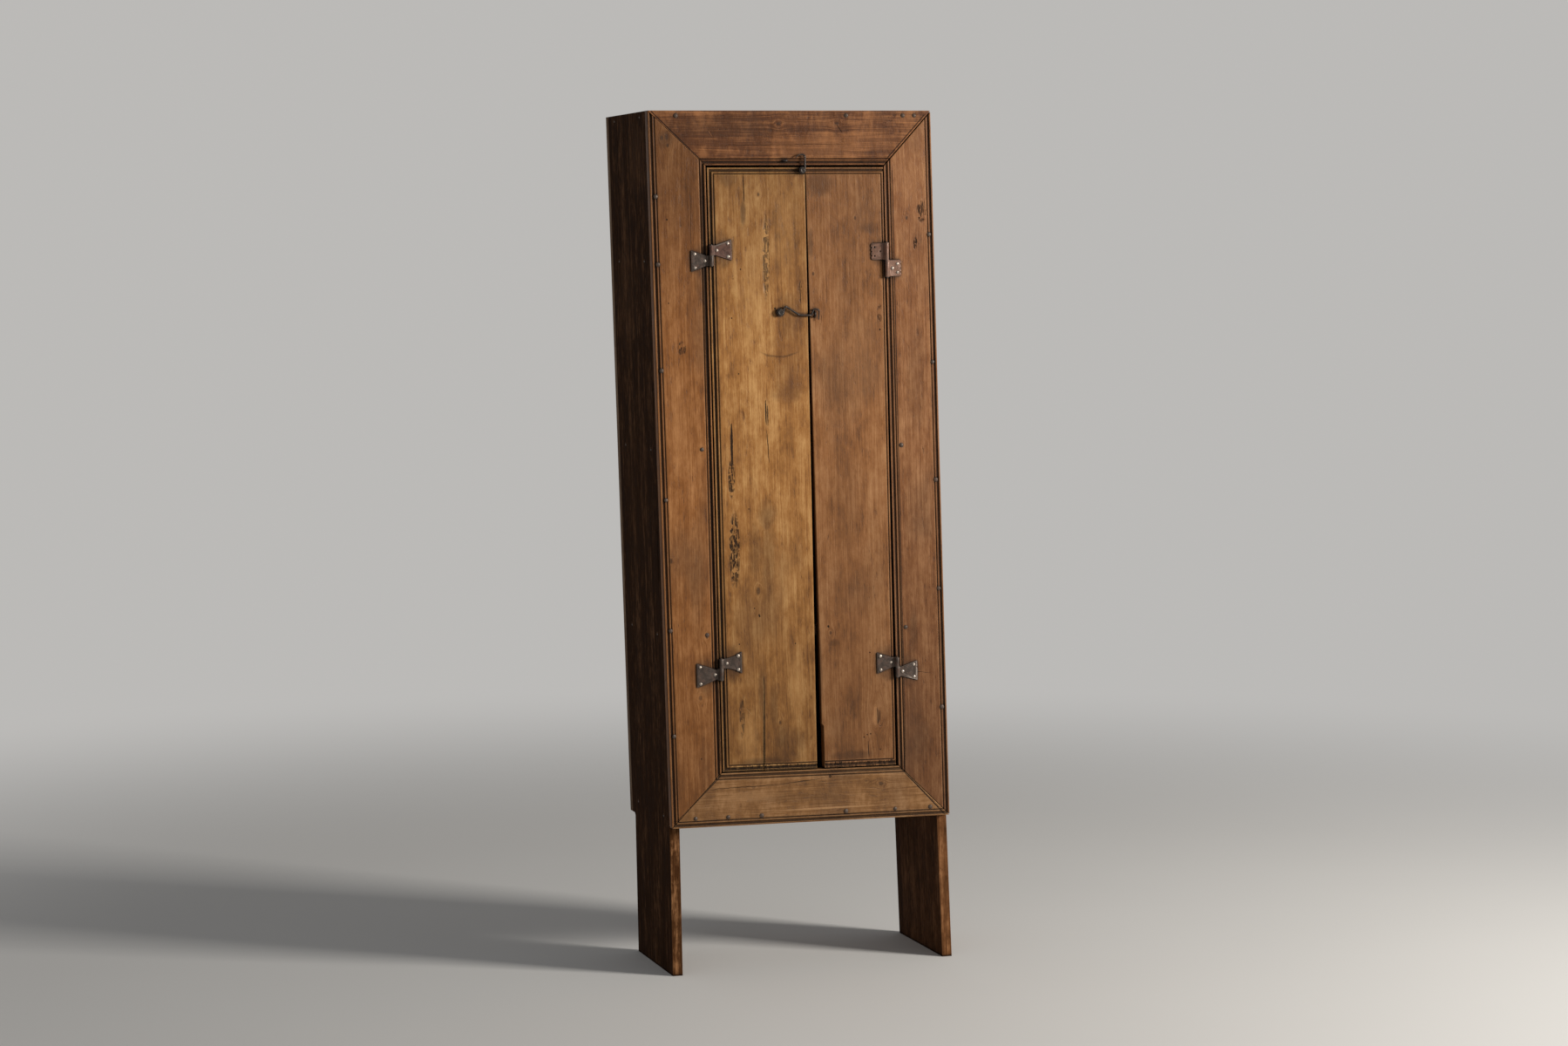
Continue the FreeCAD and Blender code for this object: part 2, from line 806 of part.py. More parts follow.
def stud(across, up, eye, rod):
    """The stud that a hook's eye turns on, with a shoulder under it and a flat head."""
    radius = eye * math.cos(math.pi / eye_sides) - rod - stud_clearance
    shoulder = radius + stud_shoulder_extra
    head = radius + stud_head_extra
    eye_front = -hook_proud - rod - stud_side_gap
    eye_back = -hook_proud + rod + stud_side_gap
    face = eye_front - stud_head_high
    stops = [
        (radius, stud_sunk),
        (radius, 0),
        (shoulder, 0),
        (shoulder, eye_back),
        (radius, eye_back),
        (radius, eye_front),
        (head, eye_front),
        (head, face),
        (head * stud_dish_share, face + stud_dish_deep),
    ]
    shape = skin([ring_of(stud_sides, wide, deep) for wide, deep in stops])
    return driven(shape, [place(across, 0, up)], backward).Solids[0]


def staple(across, up, proud, way):
    """A bent rod whose two legs stand in the wood, side by side along way."""
    half = staple_wide / 2
    low, high = [place(across, 0, up) + way * (half * turn) for turn in (-1, 1)]
    crown = forward * (proud - staple_rod)
    root = backward * staple_sunk
    corners = [low + root, low + crown, high + crown, high + root]
    points = bent_path(corners, [0, staple_bend, staple_bend, 0])
    return rod_along(points, way.cross(forward), staple_rod)


# The nails.
def ring_of(count, radius, deep):
    """The corners of a flat ring about a nail's or a stud's own line."""
    points = []
    for number in range(count):
        angle = 2 * math.pi * (number + 1 / 2) / count
        points.append(FreeCAD.Vector(radius * math.cos(angle), deep, radius * math.sin(angle)))
    return points


def domed_nail(radius, length):
    """A nail with a faceted dome that stands on the surface."""
    crown_radius = radius * nail_crown_share
    crown_deep = -nail_head_high * nail_crown_share
    crown = ring_of(nail_head_sides, crown_radius, crown_deep)
    top = [FreeCAD.Vector(0, -nail_head_high, 0)]
    head = skin([ring_of(nail_head_sides, radius, 0), crown, top])
    point = [FreeCAD.Vector(0, length, 0)]
    shank = skin([ring_of(4, nail_shank_half * square_corner_share, 0), point])
    return head.fuse(shank)


def flush_nail():
    """A square nail driven in until its head is level with the wood."""
    rings = [
        ring_of(4, flush_head_half * square_corner_share, 0),
        ring_of(4, nail_shank_half * square_corner_share, flush_head_high),
        [FreeCAD.Vector(0, flush_nail_long, 0)],
    ]
    return skin(rings)


def driven(nail, spots, way):
    """Copies of a nail that are driven in at the spots along way, as one group."""
    turn = FreeCAD.Rotation(backward, way)
    copies = []
    for spot in spots:
        shape = nail.copy()
        shape.Placement = FreeCAD.Placement(spot, turn)
        copies.append(shape)
    return Part.makeCompound(copies)


def frame_nail_spots():
    """Where nails hold the frame to the sides, the shelves, the top and the bottom."""
    spots = []
    for side, shares in ((-1, left_stile_nail_shares), (1, right_stile_nail_shares)):
        for share in shares:
            up = between(low_line(0), case_height, share)
            across = side * (half_width - side_thick / 2)
            spots.append(place(across, 0, up))
    for number in shelf_nail_shelves:
        up = shelf_levels[number] + board_thick / 2
        spots.append(place(opening_side("left", up) - shelf_nail_inset, 0, up))
        spots.append(place(opening_side("right", up) + shelf_nail_inset, 0, up))
    for share in top_rail_nail_shares:
        across = between(-half_width, half_width, share)
        spots.append(place(across, 0, top_line(across) - board_thick / 2))
    for share in low_rail_nail_shares:
        across = between(-half_width, half_width, share)
        spots.append(place(across, 0, low_line(across) + bottom_rise + board_thick / 2))
    return spots


def board_levels():
    """The middle height of every cross board, as a function of across."""
    levels = [
        lambda across: top_line(across) - board_thick / 2,
        lambda across: low_line(across) + bottom_rise + board_thick / 2,
    ]
    for level in shelf_levels:
        levels.append(lambda across, level=level: level + board_thick / 2)
    return levels


def side_nails():
    """The nails through both sides into the ends of the boards."""
    groups = []
    for side in (-1, 1):
        spots = []
        for level in board_levels():
            for share in side_nail_shares:
                deep = between(frame_thick, boards_back, share)
                spots.append(place(side * half_width, deep, level(side * half_width)))
        groups.append(driven(flush_nail(), spots, FreeCAD.Vector(-side, 0, 0)))
    return groups


def back_nails():
    """The nails through the back planks into the boards."""
    spots = []
    edges = (0,) + back_seam_shares + (1,)
    for left, right in zip(edges, edges[1:]):
        for share in back_nail_shares:
            across = between(-half_width, half_width, between(left, right, share))
            for level in board_levels():
                spots.append(place(across, case_depth, level(across)))
    return driven(flush_nail(), spots, forward)


def build():
    """Every piece of the cabinet by the name of its node."""
    boards = make_boards()
    planks = back_planks()
    frame = frame_parts()
    sides = {"left_side": side_board(-1, boards), "right_side": side_board(1, boards)}
    doors = {"left_door_plank": left_door_plank(), "right_door_plank": right_door_plank()}
    iron, leaf_spots = make_hinges()

    frame_nails = driven(domed_nail(nail_head_radius, nail_long), frame_nail_spots(), backward)
    small_nail = domed_nail(leaf_nail_radius, leaf_nail_long)
    leaf_nails = {body: driven(small_nail, spots, backward) for body, spots in leaf_spots.items()}
    left_nails, right_nails = side_nails()
    rear_nails = back_nails()

    catch = staple(catch_across, catch_up, staple_proud, FreeCAD.Vector(0, 0, 1))
    rail_loop = staple(
        rail_staple_across, rail_staple_up, rail_staple_proud, FreeCAD.Vector(1, 0, 0)
    )
    latch_stud = stud(latch_stud_across, latch_stud_up, latch_eye, latch_rod)
    top_stud = stud(top_stud_across, top_stud_up, top_eye, top_rod)

    for name in frame:
        frame[name] = frame[name].cut(frame_nails).cut(leaf_nails["frame"])
    frame["top_rail"] = frame["top_rail"].cut(rail_loop)
    for name in boards:
        boards[name] = boards[name].cut(frame_nails).cut(left_nails).cut(right_nails).cut(rear_nails)
    sides["left_side"] = sides["left_side"].cut(frame_nails).cut(left_nails)
    sides["right_side"] = sides["right_side"].cut(frame_nails).cut(right_nails)
    for name in planks:
        planks[name] = planks[name].cut(rear_nails)
    doors["left_door_plank"] = doors["left_door_plank"].cut(leaf_nails["left"])
    doors["left_door_plank"] = doors["left_door_plank"].cut(latch_stud).cut(top_stud)
    doors["right_door_plank"] = doors["right_door_plank"].cut(leaf_nails["right"]).cut(catch)
    for name in iron:
        if name.endswith("frame_leaf"):
            iron[name] = iron[name].cut(leaf_nails["frame"])
        elif name.endswith("left_door_leaf"):
            iron[name] = iron[name].cut(leaf_nails["left"])
        elif name.endswith("right_door_leaf"):
            iron[name] = iron[name].cut(leaf_nails["right"])

    parts = {}
    for group in (sides, boards, planks, frame, doors, iron):
        parts.update(group)
    parts["frame_nails"] = frame_nails
    parts["side_nails"] = Part.makeCompound(left_nails.Solids + right_nails.Solids)
    parts["back_nails"] = rear_nails
    parts["frame_leaf_nails"] = leaf_nails["frame"]
    parts["left_leaf_nails"] = leaf_nails["left"]
    parts["right_leaf_nails"] = leaf_nails["right"]
    parts["catch_staple"] = catch
    parts["rail_staple"] = rail_loop
    parts["latch_stud"] = latch_stud
    parts["top_hook_stud"] = top_stud
    parts["latch_hook"] = hook(
        latch_stud_across, latch_stud_up, latch_eye, latch_rod, latch_long, latch_shares
    )
    parts["top_hook"] = hook(top_stud_across, top_stud_up, top_eye, top_rod, top_long, top_shares)
    return parts


os.makedirs("parts", exist_ok=True)
for node, shape in build().items():
    shape.exportStep("parts/%s.step" % node)
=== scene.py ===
"""The looks of a tall plank cupboard: worn wood, wrought iron and a plain studio."""

import json
import logging
import math
from dataclasses import dataclass, field
from enum import Enum
from typing import Any, Sequence

import bmesh
import bpy
from mathutils import Matrix, Vector

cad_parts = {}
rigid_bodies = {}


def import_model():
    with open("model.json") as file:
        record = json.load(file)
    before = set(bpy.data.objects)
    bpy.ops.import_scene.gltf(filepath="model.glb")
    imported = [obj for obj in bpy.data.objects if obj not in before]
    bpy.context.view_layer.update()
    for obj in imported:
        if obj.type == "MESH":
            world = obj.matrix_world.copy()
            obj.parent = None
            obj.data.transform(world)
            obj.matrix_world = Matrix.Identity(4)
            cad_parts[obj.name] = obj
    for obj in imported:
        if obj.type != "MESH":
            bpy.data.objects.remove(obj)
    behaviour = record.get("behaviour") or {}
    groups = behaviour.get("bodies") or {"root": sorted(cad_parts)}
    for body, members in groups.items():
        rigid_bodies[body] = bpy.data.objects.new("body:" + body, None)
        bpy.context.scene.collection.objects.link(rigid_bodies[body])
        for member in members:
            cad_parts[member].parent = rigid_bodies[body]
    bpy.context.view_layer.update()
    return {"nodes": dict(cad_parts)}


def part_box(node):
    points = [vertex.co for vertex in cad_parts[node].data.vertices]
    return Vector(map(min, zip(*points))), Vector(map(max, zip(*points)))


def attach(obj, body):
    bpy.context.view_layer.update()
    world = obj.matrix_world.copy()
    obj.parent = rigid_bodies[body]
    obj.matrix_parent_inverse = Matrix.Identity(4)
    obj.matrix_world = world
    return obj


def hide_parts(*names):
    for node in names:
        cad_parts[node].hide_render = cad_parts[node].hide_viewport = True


LOG = logging.getLogger("cupboard")
Colour = tuple[float, float, float]
Spot = tuple[float, float]

# The case leans to the left by this share of its height, about the middle of that height.
LEAN = 0.0279
MIDDLE = 0.9

# The outer face of the front frame, and bands behind it, in metres. A mask starts at a band's first depth
# and is full at its second. The bands are those of a side board's front edge, of the marks on a front
# board, and of the start and the end of a moulding's hollow, which is darkened with painted shade.
FACE = -0.1627
EDGE_BAND = (0.026, 0.020)
MARK_BAND = (0.012, 0.006)
HOLLOW_START = (0.0008, 0.0021)
HOLLOW_END = (0.0075, 0.0055)

# Points nearer to each other than this are one point.
SAME_POINT = 1e-6


class Grain(Enum):
    """Which way the fibres of a board run."""

    UPRIGHT = "upright"
    ACROSS = "across"


class Facing(Enum):
    """Which way the face that carries a board's marks looks."""

    FRONT = "front"
    BACK = "back"
    SIDE = "side"


class Value:
    """A number socket on which Python arithmetic adds Math nodes."""

    def __init__(self, bench: "Bench", socket: bpy.types.NodeSocket) -> None:
        """Keeps the socket and the bench that it belongs to."""
        self.bench = bench
        self.socket = socket

    def __add__(self, other: "Number") -> "Value":
        """This value plus another."""
        return self.bench.sum("ADD", self, other)

    __radd__ = __add__

    def __sub__(self, other: "Number") -> "Value":
        """This value less another."""
        return self.bench.sum("SUBTRACT", self, other)

    def __rsub__(self, other: "Number") -> "Value":
        """Another value less this one."""
        return self.bench.sum("SUBTRACT", other, self)

    def __mul__(self, other: "Number") -> "Value":
        """This value times another."""
        return self.bench.sum("MULTIPLY", self, other)

    __rmul__ = __mul__

    def __truediv__(self, other: "Number") -> "Value":
        """This value divided by another."""
        return self.bench.sum("DIVIDE", self, other)

    def __rtruediv__(self, other: "Number") -> "Value":
        """Another value divided by this one."""
        return self.bench.sum("DIVIDE", other, self)

    def __pow__(self, other: "Number") -> "Value":
        """This value to the power of another."""
        return self.bench.sum("POWER", self, other)

    def __abs__(self) -> "Value":
        """This value without its sign."""
        return self.bench.sum("ABSOLUTE", self)

    def at_least(self, other: "Number") -> "Value":
        """The larger of this value and another."""
        return self.bench.sum("MAXIMUM", self, other)

    def at_most(self, other: "Number") -> "Value":
        """The smaller of this value and another."""
        return self.bench.sum("MINIMUM", self, other)

    def step(self, low: float, high: float) -> "Value":
        """A soft step from 0 at low to 1 at high, where low may be the larger."""
        if low > high:
            return 1 - self.step(high, low)
        inputs = {"Value": self, "From Min": low, "From Max": high}
        return self.bench.value("ShaderNodeMapRange", {"interpolation_type": "SMOOTHSTEP"}, inputs)


Number = Value | float


class Bench:
    """A node tree in which one method makes every node."""

    def __init__(self, tree: bpy.types.NodeTree) -> None:
        """Keeps the tree."""
        self.tree = tree

    @classmethod
    def of_material(cls, name: str) -> tuple["Bench", bpy.types.Material]:
        """A new material and the bench for its nodes.

        Args:
            name: The material's name.

        Returns:
            The bench, with no nodes on it, and the material.
        """
        material = bpy.data.materials.new(name)
        material.use_nodes = True
        material.node_tree.nodes.clear()
        return cls(material.node_tree), material

    def node(
        self,
        kind: str,
        settings: dict[str, Any] | None = None,
        inputs: dict[str | int, Any] | None = None,
    ) -> bpy.types.Node:
        """Makes one node.

        Args:
            kind: The node's type.
            settings: Its settings, set first; "stops" are a ramp's stops.
            inputs: Its sockets' values or the sockets that feed them.

        Returns:
            The node.
        """
        made = self.tree.nodes.new(kind)
        for name, setting in (settings or {}).items():
            if name == "stops":
                self._lay_stops(made.color_ramp, setting)
            else:
                setattr(made, name, setting)
        for name, item in (inputs or {}).items():
            socket = made.inputs[name]
            source = item.socket if isinstance(item, Value) else item
            if isinstance(source, bpy.types.NodeSocket):
                self.tree.links.new(source, socket)
            elif socket.type == "RGBA" and len(source) == 3:
                socket.default_value = (*source, 1.0)
            else:
                socket.default_value = source
        return made

    @staticmethod
    def _lay_stops(ramp: bpy.types.ColorRamp, stops: Sequence[tuple[float, Colour]]) -> None:
        """Gives a ramp its stops."""
        while len(ramp.elements) < len(stops):
            ramp.elements.new(1.0)
        for element, (position, colour) in zip(ramp.elements, stops):
            element.position = position
            element.color = (*colour, 1.0)

    def value(
        self, kind: str, settings: dict[str, Any], inputs: dict[str | int, Any], out: str | int = 0
    ) -> Value:
        """Makes a node and wraps one of its outputs as a value."""
        return Value(self, self.node(kind, settings, inputs).outputs[out])

    def sum(self, operation: str, *items: Number) -> Value:
        """A Math node on up to three values."""
        return self.value("ShaderNodeMath", {"operation": operation}, dict(enumerate(items)))

    def stretched(self, vector: bpy.types.NodeSocket, scales: tuple) -> bpy.types.NodeSocket:
        """A vector whose three parts are each scaled."""
        inputs = {0: vector, 1: scales}
        return self.node("ShaderNodeVectorMath", {"operation": "MULTIPLY"}, inputs).outputs[0]

    def noise(
        self, vector: bpy.types.NodeSocket, scale: float, detail: float = 2.0, rough: float = 0.5
    ) -> Value:
        """Soft noise from 0 to 1."""
        inputs = {"Vector": vector, "Scale": scale, "Detail": detail, "Roughness": rough}
        return self.value("ShaderNodeTexNoise", {}, inputs)

    def blend(self, share: Number, first: Any, second: Any, way: str = "MIX") -> bpy.types.NodeSocket:
        """The colour that lies at a share of the way from the first to the second."""
        settings = {"data_type": "RGBA", "blend_type": way}
        return self.node("ShaderNodeMix", settings, {0: share, 6: first, 7: second}).outputs[2]

    def edges(self, radius: float) -> tuple[bpy.types.NodeSocket, Value]:
        """A normal that rounds the edges, and how well it agrees with the face's own.

        Args:
            radius: How far from an edge it starts to turn, in metres.

        Returns:
            The normal, and 1 on a flat face, falling towards an edge.
        """
        softened = self.node("ShaderNodeBevel", {"samples": 4}, {"Radius": radius}).outputs[0]
        true = self.node("ShaderNodeNewGeometry").outputs["True Normal"]
        settings = {"operation": "DOT_PRODUCT"}
        return softened, self.value("ShaderNodeVectorMath", settings, {0: softened, 1: true}, 1)

    def finish(self, sockets: dict[str, Any], height: Value, normal: bpy.types.NodeSocket) -> None:
        """Ends a material with its shader, a bump from a height in millimetres and the output."""
        bump = self.node("ShaderNodeBump", {}, {"Distance": 0.001, "Height": height, "Normal": normal})
        sockets = {**sockets, "Normal": bump.outputs[0]}
        shader = self.node("ShaderNodeBsdfPrincipled", {}, sockets)
        self.node("ShaderNodeOutputMaterial", {}, {"Surface": shader.outputs[0]})

    def ray(self, *kinds: str) -> Value:
        """1 for a ray of one of the kinds that Light Path names, and 0 for another."""
        outputs = self.node("ShaderNodeLightPath").outputs
        found = Value(self, outputs[f"Is {kinds[0]} Ray"])
        for kind in kinds[1:]:
            found = found.at_least(Value(self, outputs[f"Is {kind} Ray"]))
        return found

    def mixed(self, share: Value, first: bpy.types.Node, second: bpy.types.Node) -> bpy.types.NodeSocket:
        """The shader that lies at a share of the way from the first to the second."""
        inputs = {0: share, 1: first.outputs[0], 2: second.outputs[0]}
        return self.node("ShaderNodeMixShader", {}, inputs).outputs[0]


def behind(depth: Value, band: tuple[float, float]) -> Value:
    """A mask that rises from 0 to 1 between two depths behind the front."""
    return depth.step(FACE + band[0], FACE + band[1])


@dataclass
class Face:
    """What a mark on a board's face is worked out from."""

    bench: Bench
    across: Value
    up: Value
    wander: Value
    ragged: Value


@dataclass(frozen=True)
class Mark:
    """A mark on the outer face of a board, in metres across and up."""

    at: Spot
    dark: float = 0.85
    deep: float = 0.0
    tint: Colour = (0.011, 0.0055, 0.003)

    def mask(self, face: Face) -> Value:
        """Where the mark is, from 0 to 1."""
        raise NotImplementedError


@dataclass(frozen=True)
class Hole(Mark):
    """A small hole left by a nail or an insect."""

    size: float = 0.0013
    dark: float = 0.95
    deep: float = 1.2

    def mask(self, face: Face) -> Value:
        """A ragged disc."""
        across = (face.across - self.at[0]) / self.size
        up = (face.up - self.at[1]) / (self.size * 1.2)
        away = across * across + up * up + (face.ragged - 0.5) * 1.2
        return away.step(1.3, 0.5)


@dataclass(frozen=True)
class Stain(Mark):
    """A soft darker or, with a negative share, paler place."""

    reach: Spot = (0.02, 0.02)
    dark: float = 0.3
    tint: Colour = (0.045, 0.018, 0.006)

    def mask(self, face: Face) -> Value:
        """A soft ellipse with a wandering edge."""
        across = (face.across - self.at[0]) / self.reach[0]
        up = (face.up - self.at[1]) / self.reach[1]
        away = across * across + up * up + (face.wander - 0.5) * 1.6
        return away.step(1.5, 0.0)


@dataclass(frozen=True)
class Arc(Mark):
    """The scratch that a swinging hook leaves under its stud."""

    radius: float = 0.09
    wide: float = 0.0035
    spread: float = 0.6
    dark: float = 0.5

    def mask(self, face: Face) -> Value:
        """Part of a soft ring, straight below its centre."""
        across, up = face.across - self.at[0], face.up - self.at[1]
        away = (across * across + up * up) ** 0.5
        ring = abs(away - self.radius + (face.wander - 0.5) * 0.006).step(self.wide, 0.0)
        below = (abs(across) / (0 - up).at_least(0.001)).step(self.spread, self.spread * 0.4)
        return ring * below * (0 - up).step(0.0, 0.01)


@dataclass(frozen=True)
class Split(Mark):
    """A crack that follows the grain from one point to another."""

    end: Spot = (0.0, 0.0)
    wide: float = 0.0008
    stray: float = 0.004
    deep: float = 1.0

    def _half(self, share: Value) -> Number:
        """Half the crack's width at a share of its length."""
        return (share * (1 - share) * 4).at_least(0.0) ** 0.5 * self.wide

    def mask(self, face: Face) -> Value:
        """A wandering line, widest at its middle."""
        run = Vector((self.end[0] - self.at[0], self.end[1] - self.at[1]))
        way = run.normalized()
        across, up = face.across - self.at[0], face.up - self.at[1]
        share = (across * way.x + up * way.y) / run.length
        aside = across * way.y - up * way.x + (face.wander - 0.5) * self.stray
        gap = self._half(share) * (face.ragged + 0.5) - abs(aside)
        return gap.step(-0.0002, 0.0003) * share.step(0.0, 0.03) * share.step(1.0, 0.97)


@dataclass(frozen=True)
class Seam(Split):
    """A line of one width from end to end: the dirty edge of a mitre, and the painted shadows and highlights
    along the mouldings.
    """

    wide: float = 0.0011
    stray: float = 0.0006
    deep: float = 0.4
    dark: float = 0.9

    def _half(self, share: Value) -> Number:
        """Half the seam's width."""
        return self.wide


class Mitre(Enum):
    """The mitres of the front frame, each from its outer to its inner end."""

    TOP_LEFT = ((-0.3300, 1.7963), (-0.2163, 1.6900))
    TOP_RIGHT = ((0.2674, 1.7925), (0.1791, 1.6960))
    LOW_LEFT = ((-0.2841, 0.3268), (-0.1845, 0.4224))
    LOW_RIGHT = ((0.3123, 0.3099), (0.2070, 0.4204))

    @property
    def inner(self) -> Spot:
        """The inner end."""
        return self.value[1]

    def seam(self, wide: float = Seam.wide) -> Seam:
        """The dirty edge along the mitre."""
        return Seam(self.value[0], end=self.inner, wide=wide)


@dataclass(frozen=True)
class Tracks(Mark):
    """A place where insects have eaten open galleries along the grain."""

    reach: Spot = (0.006, 0.05)
    deep: float = 0.9

    def mask(self, face: Face) -> Value:
        """Broken lines within a tall ellipse."""
        across = (face.across - self.at[0]) / self.reach[0]
        up = (face.up - self.at[1]) / self.reach[1]
        inside = (across * across + up * up).step(1.1, 0.5)
        bench = face.bench
        joined = bench.node("ShaderNodeCombineXYZ", {}, {0: face.across, 1: face.up})
        stretched = bench.stretched(joined.outputs[0], (340.0, 30.0, 1.0))
        lines = abs(bench.noise(stretched, 1.0, 3.0, 0.6) - 0.5).step(0.085, 0.04)
        broken = bench.noise(joined.outputs[0], 75.0, 2.0, 0.6).step(0.40, 0.47)
        return inside * lines * broken


@dataclass(frozen=True)
class Chips(Mark):
    """A row of small chips along an edge that runs from one point to another."""

    end: Spot = (0.0, 0.0)
    tall: float = 0.007
    density: float = 0.5
    deep: float = 0.8

    def mask(self, face: Face) -> Value:
        """Notches of uneven height that start at the edge."""
        bench = face.bench
        rise = (self.end[1] - self.at[1]) / (self.end[0] - self.at[0])
        along = bench.node("ShaderNodeCombineXYZ", {}, {0: face.across, 1: self.at[0] + self.at[1]})
        notch = bench.noise(along.outputs[0], 150.0, 3.0, 0.7).step(0.60 - self.density * 0.2, 0.62)
        above = face.up - self.at[1] - (face.across - self.at[0]) * rise
        near = (notch * self.tall * (face.ragged + 0.5) - abs(above)).step(-0.0003, 0.0006)
        started = face.across.step(self.at[0], self.at[0] + 0.002)
        return near * started * face.across.step(self.end[0], self.end[0] - 0.002)


@dataclass(frozen=True)
class Knot:
    """A knot that the grain flows round."""

    at: Spot
    size: float = 0.004
    tall: float = 1.5
    dark: float = 0.7


class GrainNoise(Enum):
    """The noises that are drawn out along the grain.

    Each has its waves to the metre across, into and along the grain, its detail and its roughness.
    """

    BROAD = ((15.0, 11.0, 0.55), 2.0, 0.5)
    FIGURE = ((85.0, 55.0, 1.9), 3.0, 0.55)
    VEIN = ((185.0, 120.0, 4.2), 3.0, 0.6)
    STREAK = ((520.0, 340.0, 10.0), 2.0, 0.6)
    FIBRE = ((1500.0, 1000.0, 30.0), 2.0, 0.5)
    SPECK = ((820.0, 500.0, 95.0), 1.0, 0.5)
    FLECK = ((270.0, 180.0, 38.0), 4.0, 0.7)

    def laid(self, bench: Bench, fibres: bpy.types.NodeSocket) -> Value:
        """The noise on a place that is measured along the fibres."""
        waves, detail, rough = self.value
        return bench.noise(bench.stretched(fibres, waves), 1.0, detail, rough)


@dataclass
class Ground:
    """A board's finish while it is laid on: its places and noises, and its colour and height so far."""

    bench: Bench
    face: Face
    depth: Value
    fibres: bpy.types.NodeSocket
    knotty: Value | None
    ripple: Value
    knocks: Value
    mottle: Value
    patch: Value
    streak: Value
    colour: Any = None
    height: Value | None = None

    def tint(self, share: Number, colour: Any) -> None:
        """Moves the colour by a share of the way to another."""
        self.colour = self.bench.blend(share, self.colour, colour)


